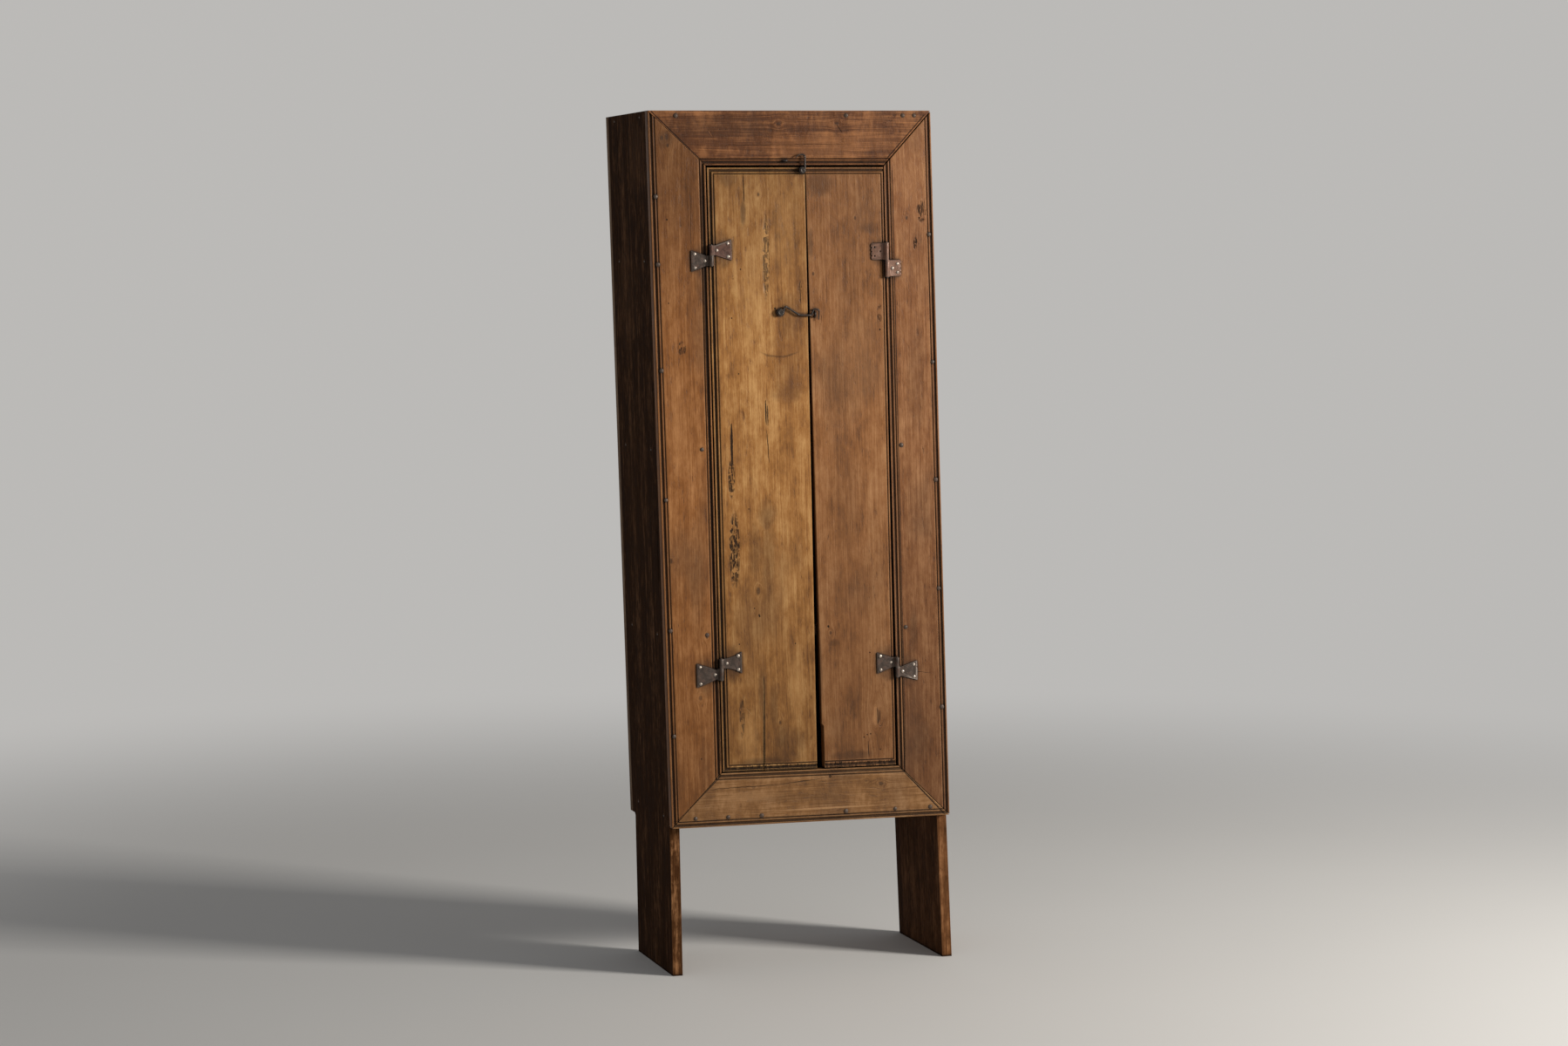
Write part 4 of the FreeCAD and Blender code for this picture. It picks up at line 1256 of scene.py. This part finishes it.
@dataclass
class Studio:
    """The camera, the lamps, the background and the pale floor that the cupboard stands on."""

    image: tuple[int, int] = (1799, 1200)
    focal_pixels: float = 3822.0
    eye: tuple[float, float, float] = (-2.1634, -6.7462, 1.487)
    yaw: float = 17.827
    pitch: float = 4.489
    roll: float = -0.282
    sensor: float = 36.0
    sight: float = 100.0
    pale: Colour = (0.70, 0.69, 0.67)
    background: Colour = (0.50, 0.49, 0.475)
    air: Colour = (0.99, 0.99, 1.0)
    air_strength: float = 0.20
    span: float = 150.0
    lamps: tuple[Lamp, ...] = (
        Lamp("key", (3.9, -3.1, 2.5), (0.0, 0.0, 0.95), wide=1.1, power=285.0, colour=(1.0, 0.96, 0.90)),
        Lamp("fill", (-4.2, -4.6, 2.2), (0.0, 0.0, 0.9), wide=3.0, power=12.0, colour=(0.97, 0.98, 1.0)),
    )

    def camera(self) -> None:
        """Sets the camera where the photograph was taken from."""
        yaw, pitch, roll = (math.radians(angle) for angle in (self.yaw, self.pitch, self.roll))
        ahead = Vector((math.sin(yaw) * math.cos(pitch), math.cos(yaw) * math.cos(pitch), -math.sin(pitch)))
        level = Vector((math.cos(yaw), -math.sin(yaw), 0))
        top = level.cross(ahead)
        right = level * math.cos(roll) + top * math.sin(roll)
        up = top * math.cos(roll) - level * math.sin(roll)
        data = bpy.data.cameras.new("camera")
        data.sensor_fit = "HORIZONTAL"
        data.sensor_width = self.sensor
        data.lens = self.focal_pixels * data.sensor_width / self.image[0]
        data.clip_end = self.sight
        camera = bpy.data.objects.new("camera", data)
        turn = Matrix((right, up, -ahead)).transposed().to_4x4()
        camera.matrix_world = Matrix.Translation(self.eye) @ turn
        bpy.context.scene.collection.objects.link(camera)
        bpy.context.scene.camera = camera

    def air_light(self) -> None:
        """Lets a little light come from all around, and shows the background's colour."""
        world = bpy.data.worlds.new("air")
        world.use_nodes = True
        world.node_tree.nodes.clear()
        bench = Bench(world.node_tree)
        light = bench.node("ShaderNodeBackground", {}, {"Color": self.air, "Strength": self.air_strength})
        view = bench.node("ShaderNodeBackground", {}, {"Color": self.background, "Strength": 1.0})
        surface = bench.mixed(bench.ray("Camera", "Glossy", "Transmission"), light, view)
        bench.node("ShaderNodeOutputWorld", {}, {"Surface": surface})
        bpy.context.scene.world = world

    def floor(self) -> None:
        """Lays the floor."""
        points = [(x * self.span, y * self.span, 0.0) for x, y in ((-1, -1), (1, -1), (1, 1), (-1, 1))]
        mesh = bpy.data.meshes.new("floor")
        mesh.from_pydata(points, [], [(0, 1, 2, 3)])
        finish = FloorFinish("pale_floor", self.pale, self.background)
        made_object("floor", mesh, finish.material())

    def build(self) -> None:
        """Sets up the whole studio."""
        self.camera()
        for lamp in self.lamps:
            lamp.hang()
        self.air_light()
        self.floor()
        bpy.context.scene.view_settings.view_transform = "Standard"


@dataclass(frozen=True)
class BoardLooks:
    """The finish of every board, with the marks that its face carries."""

    rust_and_shadow: float = 0.62

    def _hinge_rust_and_shadows(self, side: str, half: str) -> tuple[Mark, ...]:
        """Rust and grease round the hinge leaves that lie on one board, and painted shadows beside their
        knuckles.

        Args:
            side: The door that the hinges carry, "left" or "right".
            half: The half of each hinge, "door" or "frame".

        Returns:
            Two stains for each leaf, a wide soft one of rust and grease and a darker one at its knuckle,
            which is a painted shadow of the knuckle.
        """
        marks: list[Mark] = []
        for level in ("top", "low"):
            low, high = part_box(f"hinge_{level}_{side}_{half}_leaf")
            middle, span = (low + high) / 2, high - low
            toward_left = (side == "left") == (half == "door")
            knuckle = low.x if toward_left else high.x
            marks.append(Stain((middle.x, middle.z), reach=(span.x * 0.62, span.z * 0.85), dark=self.rust_and_shadow))
            # Painted shadow of the knuckle.
            marks.append(Stain((knuckle, middle.z), reach=(0.011, span.z * 1.1), dark=self.rust_and_shadow * 1.45))
        return tuple(marks)

    @staticmethod
    def _stains(*rows: tuple[float, float, float, float, float]) -> tuple[Mark, ...]:
        """Stains whose rows give place across and up, reach across and up, and share."""
        return tuple(Stain((x, z), reach=(wide, tall), dark=dark) for x, z, wide, tall, dark in rows)

    @staticmethod
    def _rust(nails: str, board: str, across: int) -> tuple[Mark, ...]:
        """Rust that has run down from the flush nails of one board.

        Args:
            nails: The node of the nails.
            board: The node of the board.
            across: The axis across the board's outer face.

        Returns:
            One stain for each nail.
        """
        low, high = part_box(board)
        marks: list[Mark] = []
        for start, end in islands(nails):
            middle = (start + end) / 2
            if low.x <= middle.x <= high.x:
                at = (middle[across], middle.z - 0.004)
                marks.append(Stain(at, reach=(0.007, 0.016), dark=0.6, tint=(0.020, 0.009, 0.005)))
        return tuple(marks)

    def left_stile(self) -> WoodFinish:
        """The stile at the viewer's left."""
        return WoodFinish(
            "left_stile_wood", (0.108, 0.038, 0.010), (0.245, 0.089, 0.020), (0.43, 0.195, 0.068), seed=1.3,
            hollow_shade_share=0.72,
            height_shade=((0.33, 0.71), (0.62, 0.84), (1.0, 1.02), (1.35, 0.98), (1.6, 0.62), (1.8, 0.54)),
            knots=(
                Knot((-0.3046, 1.7398), 0.0035), Knot((-0.2935, 1.7417), 0.0045, 1.6),
                Knot((-0.2918, 1.7240), 0.003), Knot((-0.2915, 0.872), 0.004),
                Knot((-0.2150, 0.7136), 0.004), Knot((-0.2300, 0.5852), 0.0045, 1.3, 0.55),
            ),
            marks=self._hinge_rust_and_shadows("left", "frame") + (
                Hole((-0.2948, 1.5733), size=0.0016), Hole((-0.2925, 1.4026)), Hole((-0.2291, 0.4576)),
                Stain((-0.2975, 1.7360), reach=(0.018, 0.020), dark=0.45),
                Tracks((-0.2653, 1.3095), reach=(0.010, 0.016), deep=0.5),
                *self._stains(
                    (-0.2150, 1.4400, 0.020, 0.050, 0.4), (-0.2750, 1.1500, 0.022, 0.110, -0.22),
                    (-0.2350, 0.8000, 0.018, 0.090, 0.22),
                ),
                Split((-0.2450, 1.6400), end=(-0.2435, 1.5100), wide=0.0004, stray=0.002),
                # Painted shadow over the fillet and hollow along the stile's inner edge.
                self._painted_moulding_line(Mitre.TOP_LEFT.inner, Mitre.LOW_LEFT.inner, -0.0040, 0.0037, 0.88),
                Mitre.TOP_LEFT.seam(), Mitre.LOW_LEFT.seam(0.0016),
            ),
        )

    def right_stile(self) -> WoodFinish:
        """The stile at the viewer's right."""
        inner = (Mitre.TOP_RIGHT.inner, Mitre.LOW_RIGHT.inner)
        return WoodFinish(
            "right_stile_wood", (0.110, 0.041, 0.014), (0.240, 0.091, 0.028), (0.41, 0.195, 0.08), seed=7.7,
            height_shade=((0.33, 0.52), (0.62, 0.62), (1.1, 0.88), (1.6, 0.94), (1.8, 0.88)),
            knots=(Knot((0.2262, 1.5765), 0.003),),
            marks=self._hinge_rust_and_shadows("right", "frame") + (
                *self._stains((0.2405, 0.7061, 0.010, 0.050, 0.42), (0.2112, 0.6623, 0.008, 0.030, 0.5)),
                Split((0.2257, 0.6237), end=(0.2771, 0.6163), wide=0.0005, stray=0.006),
                *self._stains(
                    (0.2480, 1.2500, 0.022, 0.120, 0.2), (0.2300, 1.6500, 0.020, 0.050, -0.2),
                    (0.2600, 0.4700, 0.020, 0.060, 0.3),
                ),
                # Painted highlight on the bead, and painted shadow in the quirk beside it.
                self._painted_moulding_line(*inner, 0.0103, 0.0014, -0.5), self._painted_moulding_line(*inner, 0.0150, 0.0010, 0.85),
                Tracks((0.2590, 1.5900), reach=(0.012, 0.024), deep=0.8, dark=0.9),
                Tracks((0.2455, 1.5238), reach=(0.005, 0.014), deep=0.8, dark=0.9),
                Mitre.TOP_RIGHT.seam(), Mitre.LOW_RIGHT.seam(0.0018),
            ),
        )

    def top_rail(self) -> WoodFinish:
        """The rail over the doors."""
        return WoodFinish(
            "top_rail_wood", (0.046, 0.015, 0.0045), (0.104, 0.034, 0.0085), (0.33, 0.135, 0.046), seed=3.1,
            grain=Grain.ACROSS, figure=1.5, dull=(0.062, 0.026, 0.010),
            knots=(Knot((-0.0543, 1.7701), 0.004, 1.2), Knot((0.0729, 1.7711), 0.0035, 1.4)),
            marks=(
                Split((0.0729, 1.769), end=(0.0853, 1.752), wide=0.0008, stray=0.002),
                *self._stains(
                    (-0.0340, 1.6935, 0.030, 0.012, 0.6), (0.0200, 1.7200, 0.120, 0.028, -0.30),
                    (0.1400, 1.7350, 0.090, 0.022, -0.22), (-0.2162, 1.7067, 0.012, 0.008, -0.5),
                    (-0.1800, 1.7620, 0.140, 0.025, 0.35), (0.0349, 1.7986, 0.100, 0.0022, -0.9),
                    (-0.1900, 1.7990, 0.080, 0.0018, -0.7),
                ),
                Split((-0.2050, 1.7560), end=(-0.1960, 1.7420), wide=0.0007, stray=0.003, dark=-0.7),
                Split((-0.1900, 1.7250), end=(0.1000, 1.7290), wide=0.0004, stray=0.004),
                Mitre.TOP_LEFT.seam(), Mitre.TOP_RIGHT.seam(),
            ),
        )

    def bottom_rail(self) -> WoodFinish:
        """The rail under the doors."""
        return WoodFinish(
            "bottom_rail_wood", (0.092, 0.039, 0.013), (0.205, 0.094, 0.030), (0.39, 0.212, 0.094), seed=9.4,
            grain=Grain.ACROSS,
            knots=(Knot((0.1667, 0.3854), 0.004), Knot((0.1339, 0.3924), 0.0028, 1.2, 0.4)),
            marks=(
                Split((-0.2137, 0.3919), end=(-0.0537, 0.3954), wide=0.0006, stray=0.005),
                Split((-0.0600, 0.3952), end=(0.0434, 0.4041), wide=0.0006, stray=0.005),
                Hole((0.0524, 0.4070), size=0.0028),
                *self._stains(
                    (-0.1217, 0.3716, 0.070, 0.012, -0.4), (0.0831, 0.4054, 0.040, 0.010, 0.4),
                    (-0.0200, 0.3640, 0.090, 0.010, 0.25), (0.0500, 0.3400, 0.120, 0.0025, -0.8),
                ),
                Mitre.LOW_LEFT.seam(0.0014), Mitre.LOW_RIGHT.seam(0.0016),
            ),
        )

    @staticmethod
    def _painted_moulding_line(top: Spot, foot: Spot, aside: float, wide: float, dark: float) -> Seam:
        """A painted shadow along an upright moulding, at a distance aside of the board's edge; a negative
        share paints a highlight.
        """
        return Seam((top[0] + aside, top[1]), end=(foot[0] + aside, foot[1]), wide=wide, deep=0.0, dark=dark)

    @staticmethod
    def _foot_chips(door: str, density: float) -> tuple[Mark, ...]:
        """Dark and pale chips along a door's lower edge."""
        left, right = corner(door, -1, -1), corner(door, 1, -1)
        pale = Chips(
            (left.x + 0.004, left.z + 0.0085), end=(right.x - 0.004, right.z + 0.0085),
            tall=0.0035, density=density, deep=0.5, dark=-0.75,
        )
        dark = Chips(
            (left.x, left.z + 0.0010), end=(right.x, right.z + 0.0010),
            tall=0.0105, density=density, dark=0.97,
        )
        return pale, dark

    def left_door(self) -> WoodFinish:
        """The door at the viewer's left."""
        stains = (
            *self._stains((-0.1317, 1.5875, 0.006, 0.030, 0.6), (-0.1650, 1.6588, 0.022, 0.020, 0.4)),
            Stain((-0.0300, 1.2900), reach=(0.046, 0.100), dark=0.34, tint=(0.130, 0.048, 0.014)),
            Stain((-0.0363, 1.2162), reach=(0.040, 0.022), dark=0.30, tint=(0.090, 0.034, 0.010)),
            *self._stains(
                (-0.0833, 0.9633, 0.022, 0.032, 0.38), (-0.0800, 0.8700, 0.016, 0.100, 0.3),
                (-0.1103, 0.8914, 0.014, 0.055, 0.28), (-0.0955, 0.5997, 0.010, 0.060, 0.45),
                (-0.0463, 0.4534, 0.040, 0.014, 0.4), (-0.1573, 0.6331, 0.012, 0.022, 0.45),
                (-0.0963, 0.4423, 0.060, 0.012, 0.6), (-0.0350, 0.4850, 0.040, 0.030, 0.35),
                (-0.0700, 0.5600, 0.010, 0.050, 0.4), (-0.1250, 0.5000, 0.022, 0.060, -0.28),
                (-0.0200, 0.6000, 0.018, 0.080, -0.22), (-0.0420, 0.8300, 0.024, 0.060, -0.15),
                (-0.0532, 0.4950, 0.016, 0.040, 0.3), (-0.0300, 1.3800, 0.030, 0.050, 0.25),
            ),
            Arc((-0.0545, 1.3827), radius=0.0925),
            *self._stains(
                (-0.1150, 1.4100, 0.030, 0.100, -0.18), (-0.0450, 1.5500, 0.028, 0.090, -0.16),
                (-0.0200, 1.6750, 0.014, 0.014, 0.65), (-0.1100, 1.6780, 0.050, 0.006, 0.4),
            ),
        )
        eaten = (
            Split((-0.1313, 1.6680), end=(-0.1294, 1.6090), wide=0.0012),
            Stain((-0.0828, 1.1750), reach=(0.006, 0.030), dark=-0.6),
            Split((-0.0850, 1.2020), end=(-0.0842, 1.1482), wide=0.0015, stray=0.003, dark=0.95),
            Split((-0.0812, 1.1900), end=(-0.0806, 1.1470), wide=0.0011, stray=0.003, dark=0.95),
            Split((-0.0830, 1.1400), end=(-0.0781, 1.0684), wide=0.0010),
            Split((-0.1597, 1.1550), end=(-0.1583, 1.0650), wide=0.0026, stray=0.002, dark=0.97),
            Split((-0.1313, 0.5601), end=(-0.1180, 0.5450), wide=0.0005, stray=0.001, dark=-0.7),
            # The split at the foot is also cut in the door; this dark band is drawn as wide as the split with
            # its shadow, so it is partly painted shadow.
            Split((-0.0937, 0.2300), end=(-0.0916, 0.6300), wide=0.0027, stray=0.001, dark=0.97),
            Stain((-0.0830, 1.4950), reach=(0.009, 0.085), dark=-0.5),
            Tracks((-0.0830, 1.4950), reach=(0.008, 0.090), deep=1.2, dark=0.7),
            Tracks((-0.1600, 1.0400), reach=(0.008, 0.045), dark=0.95),
            Tracks((-0.1545, 0.8900), reach=(0.013, 0.085), dark=0.95),
            Tracks((-0.1400, 0.5400), reach=(0.006, 0.045), deep=0.7, dark=0.7),
            Tracks((-0.0086, 1.4250), reach=(0.004, 0.025), deep=0.5, dark=0.6),
        )
        holes = (
            Hole((-0.1117, 0.7677)), Hole((-0.1008, 0.7509), size=0.0018), Hole((-0.1230, 0.9753)),
            Hole((-0.1432, 1.2558)), Hole((-0.1381, 1.4712)), Hole((-0.1540, 1.4516), size=0.0010),
            Hole((-0.1575, 1.3709)), Hole((-0.0639, 1.3898), size=0.0020), Hole((-0.1453, 0.6939)),
            Hole((-0.0225, 0.6907)), Hole((-0.1017, 0.7535), size=0.0016),
        )
        top, foot = corner("left_door_plank", -1, 1), corner("left_door_plank", -1, -1)
        # Painted shadow in the hollow of the door's hinge-side moulding.
        moulding_shadow = self._painted_moulding_line((top.x, top.z), (foot.x, foot.z), 0.0058, 0.0023, 0.85)
        chips = self._foot_chips("left_door_plank", 1.2)
        return WoodFinish(
            "left_door_wood", (0.150, 0.058, 0.015), (0.335, 0.144, 0.035), (0.53, 0.285, 0.100), seed=4.2,
            mottle=1.35, hollow_shade_share=0.72,
            height_shade=((0.42, 0.62), (0.6, 0.70), (1.0, 0.98), (1.3, 1.02), (1.6, 0.76), (1.7, 0.62)),
            knots=(
                Knot((-0.0984, 1.6251), 0.003), Knot((-0.1032, 0.8038), 0.005, 1.8),
                Knot((-0.0566, 0.5260), 0.003),
            ),
            marks=self._hinge_rust_and_shadows("left", "door") + (moulding_shadow,) + stains + eaten + holes + chips,
        )

    def right_door(self) -> WoodFinish:
        """The door at the viewer's right."""
        stains = self._stains(
            (0.0343, 1.6487, 0.032, 0.028, 0.5), (0.1431, 1.5549, 0.020, 0.012, 0.4),
            (0.0147, 1.5227, 0.006, 0.034, 0.55), (0.0625, 0.6890, 0.012, 0.008, 0.45),
            (0.1050, 0.4493, 0.050, 0.010, 0.5), (0.0317, 0.6216, 0.006, 0.080, 0.45),
            (0.0900, 1.0000, 0.040, 0.130, 0.16), (0.1200, 1.2800, 0.028, 0.110, -0.16),
            (0.0950, 1.6790, 0.070, 0.006, 0.4), (0.1000, 1.4300, 0.030, 0.100, 0.16),
        )
        eaten = (
            Tracks((0.1657, 1.3769), reach=(0.006, 0.022)),
            Split((0.1378, 0.4788), end=(0.1395, 0.4423), wide=0.0009, stray=0.002),
            Split((0.1580, 0.5480), end=(0.1600, 0.5120), wide=0.0014, stray=0.004, dark=0.95),
            Split((0.1635, 0.5420), end=(0.1630, 0.5160), wide=0.0009, stray=0.004),
            Stain((0.1540, 0.5300), reach=(0.006, 0.022), dark=-0.5),
            Split((0.0900, 1.5100), end=(0.0912, 1.4200), wide=0.0004, stray=0.002),
            Hole((0.1664, 1.3441), size=0.0018), Hole((0.0501, 0.7238), size=0.0022),
            Hole((0.1288, 0.4861)), Hole((0.1360, 0.4910)), Hole((0.1433, 0.4924)), Hole((0.1651, 0.4584)),
            Hole((0.1420, 0.6651)),
        )
        return WoodFinish(
            "right_door_wood", (0.118, 0.047, 0.016), (0.262, 0.104, 0.031), (0.41, 0.20, 0.08), seed=6.6,
            height_shade=((0.42, 0.66), (0.65, 0.73), (1.1, 0.98), (1.3, 0.98), (1.65, 0.78), (1.7, 0.70)),
            knots=(
                Knot((0.1124, 1.5766), 0.003), Knot((0.0201, 1.4613), 0.003), Knot((0.0554, 0.7099), 0.0032),
                Knot((0.1598, 0.5297), 0.0075, 2.4, 0.3),
            ),
            marks=self._hinge_rust_and_shadows("right", "door") + stains + eaten + self._foot_chips("right_door_plank", 0.8),
        )

    def _side(self, board: str, seed: float, body: Colour, marks: tuple[Mark, ...]) -> WoodFinish:
        """A side board, darkened by smoke."""
        return WoodFinish(
            board + "_wood", (0.018, 0.0075, 0.0035), body, (0.20, 0.098, 0.048),
            dull=(0.024, 0.012, 0.0065), facing=Facing.SIDE, seed=seed, rough=0.75, gloss=0.02, figure=1.2,
            wear=0.8, hollow_shade_share=0.0, lift=(2.35, 2.35, 2.1),
            knots=(Knot((0.010, 1.310), 0.006, 1.8, 0.5), Knot((-0.070, 0.640), 0.005, 1.6, 0.5)),
            marks=self._rust("side_nails", board, 1) + marks,
        )

    def left_side(self) -> WoodFinish:
        """The side board at the viewer's left, in shadow."""
        return self._side("left_side", 11.5, (0.033, 0.013, 0.005), (
            Tracks((-0.1330, 1.2050), reach=(0.007, 0.045), deep=1.0, dark=0.95),
            Tracks((-0.1250, 0.8800), reach=(0.006, 0.070), deep=0.8, dark=0.9),
            *self._stains(
                (-0.0600, 1.7000, 0.060, 0.070, -0.16), (0.0500, 1.4000, 0.070, 0.120, -0.12),
                (0.0200, 1.0000, 0.090, 0.160, 0.3),
            ),
            Split((0.0800, 1.7900), end=(0.0830, 1.4800), wide=0.0010, stray=0.005),
            Split((-0.0300, 0.0040), end=(-0.0280, 0.2300), wide=0.0012, stray=0.004),
        ))

    def right_side(self) -> WoodFinish:
        """The side board at the viewer's right."""
        return self._side("right_side", 12.9, (0.070, 0.029, 0.0125), (
            Tracks((-0.1280, 1.5300), reach=(0.008, 0.060), deep=1.0, dark=0.95),
            *self._stains((0.0300, 1.2500, 0.080, 0.160, -0.14), (-0.0400, 0.7500, 0.090, 0.140, 0.3)),
            Split((0.0500, 0.0040), end=(0.0480, 0.2700), wide=0.0012, stray=0.004),
            Split((-0.0500, 1.7900), end=(-0.0470, 1.5600), wide=0.0009, stray=0.004),
        ))

    def inner(self, name: str, seed: float) -> WoodFinish:
        """A shelf or another board of the inside, which the light and hands have reached less."""
        return WoodFinish(
            name, (0.115, 0.058, 0.028), (0.225, 0.126, 0.066), (0.36, 0.225, 0.13),
            dull=(0.12, 0.085, 0.055), grain=Grain.ACROSS, seed=seed, rough=0.7, wear=0.4, hollow_shade_share=0.0,
        )

    def back(self, board: str, seed: float) -> WoodFinish:
        """A sawn plank of the back, grey with dust."""
        low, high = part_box(board)
        middle = (low.x + high.x) / 2
        edge = (high.x - low.x) * 0.32
        top_crack = Split(
            (middle - edge * 0.3, high.z - 0.010), end=(middle - edge * 0.2, high.z - 0.330), wide=0.0010
        )
        foot_crack = Split(
            (middle + edge * 0.7, low.z + 0.004), end=(middle + edge * 0.6, low.z + 0.240), wide=0.0012
        )
        return WoodFinish(
            board + "_wood", (0.060, 0.034, 0.019), (0.180, 0.108, 0.062), (0.31, 0.21, 0.135),
            dull=(0.12, 0.09, 0.065), facing=Facing.BACK, seed=seed, rough=0.78, wear=0.6, figure=1.7,
            hollow_shade_share=0.0,
            knots=(
                Knot((middle - edge * 0.6, 1.52 - seed % 0.4), 0.009, 1.6, 0.75),
                Knot((middle + edge * 0.5, 0.74 + seed % 0.3), 0.007, 1.7, 0.75),
            ),
            marks=self._rust("back_nails", board, 0) + (top_crack, foot_crack) + self._stains(
                (middle + edge * 0.4, 1.30, 0.045, 0.150, 0.35),
                (middle - edge * 0.7, 0.95, 0.035, 0.200, -0.25),
                (middle, low.z, 0.140, 0.050, 0.45),
                (middle, high.z, 0.140, 0.040, 0.4),
            ),
        )

    def by_board(self) -> dict[str, WoodFinish]:
        """All the finishes.

        Returns:
            The finishes by the names of the boards.
        """
        finishes = {
            "left_stile": self.left_stile(),
            "right_stile": self.right_stile(),
            "top_rail": self.top_rail(),
            "bottom_rail": self.bottom_rail(),
            "left_door_plank": self.left_door(),
            "right_door_plank": self.right_door(),
            "left_side": self.left_side(),
            "right_side": self.right_side(),
        }
        for number, node in enumerate(("top_board", "bottom_board", "shelf_1", "shelf_2", "shelf_3")):
            finishes[node] = self.inner(f"inner_wood_{number}", 14.0 + 1.7 * number)
        for number in (1, 2, 3):
            finishes[f"back_plank_{number}"] = self.back(f"back_plank_{number}", 20.0 + 2.3 * number)
        return finishes


def ironwork(nodes: dict[str, bpy.types.Object]) -> None:
    """Gives every piece of iron its finish, and forges the nail heads, leaves, hooks and staples.

    Args:
        nodes: The solids by name.
    """
    plate, red, pale, dark, worn, rubbed = (finish.material() for finish in (
        IronFinish("hinge_iron"),
        IronFinish("hinge_iron_red", body=(0.070, 0.033, 0.023), rust=(0.105, 0.042, 0.024), rusty=0.9),
        IronFinish("hinge_iron_pale", body=(0.145, 0.078, 0.052), rust=(0.17, 0.075, 0.042), rusty=0.8),
        IronFinish("hook_iron", body=(0.032, 0.027, 0.024), rusty=0.35, metal=0.7, rough=0.40),
        IronFinish("nail_iron", body=(0.060, 0.040, 0.028), rusty=0.6, metal=0.4, rough=0.5),
        IronFinish("rubbed_nail_iron", body=(0.33, 0.28, 0.235), rusty=0.15, metal=0.7, rough=0.32),
    ))
    for name, node in nodes.items():
        if name.startswith("hinge_"):
            wear(node.data, plate)
        elif name.endswith("nails"):
            wear(node.data, worn)
        elif name.endswith(("stud", "staple", "hook")):
            wear(node.data, dark)

    NailWork().build(worn, rubbed)
    reds = {
        "hinge_top_left_door_leaf": red,
        "hinge_top_right_door_leaf": pale,
        "hinge_top_right_frame_leaf": pale,
    }
    HingeWork().build(plate, reds)
    rod = RodRecipe()
    HookWork(
        "latch_hook", "latch_stud", "latch_hook", eye=0.0065, rod=0.00185, long=0.0846,
        shares=(
            (0.112, 0.161, 0.041), (0.479, -0.069, 0.165), (0.796, -0.080, 0.047),
            (0.865, 0.082, 0.043), (1.0, 0.053, 0.047), (0.983, -0.189, 0.0),
        ),
    ).build(rod, dark)
    HookWork(
        "top_hook", "top_hook_stud", "top_hook", eye=0.0055, rod=0.0018, long=0.0325,
        shares=((0.175, 1.0, 0.170), (-0.237, 0.969, 0.185), (-0.449, 0.788, 0.0)),
    ).build(rod, dark)
    StapleWork("catch_staple", "right_door", True).build(rod, dark)
    StapleWork("rail_staple", "case", False).build(rod, dark)


def main() -> None:
    """Builds the looks of the cupboard and its studio."""
    logging.basicConfig(level=logging.INFO, format="%(name)s: %(message)s")
    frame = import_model()
    nodes = frame["nodes"]

    PlankWork(BoardLooks().by_board()).dress(nodes)
    ironwork(nodes)
    Studio().build()


if __name__ == "__main__":
    main()
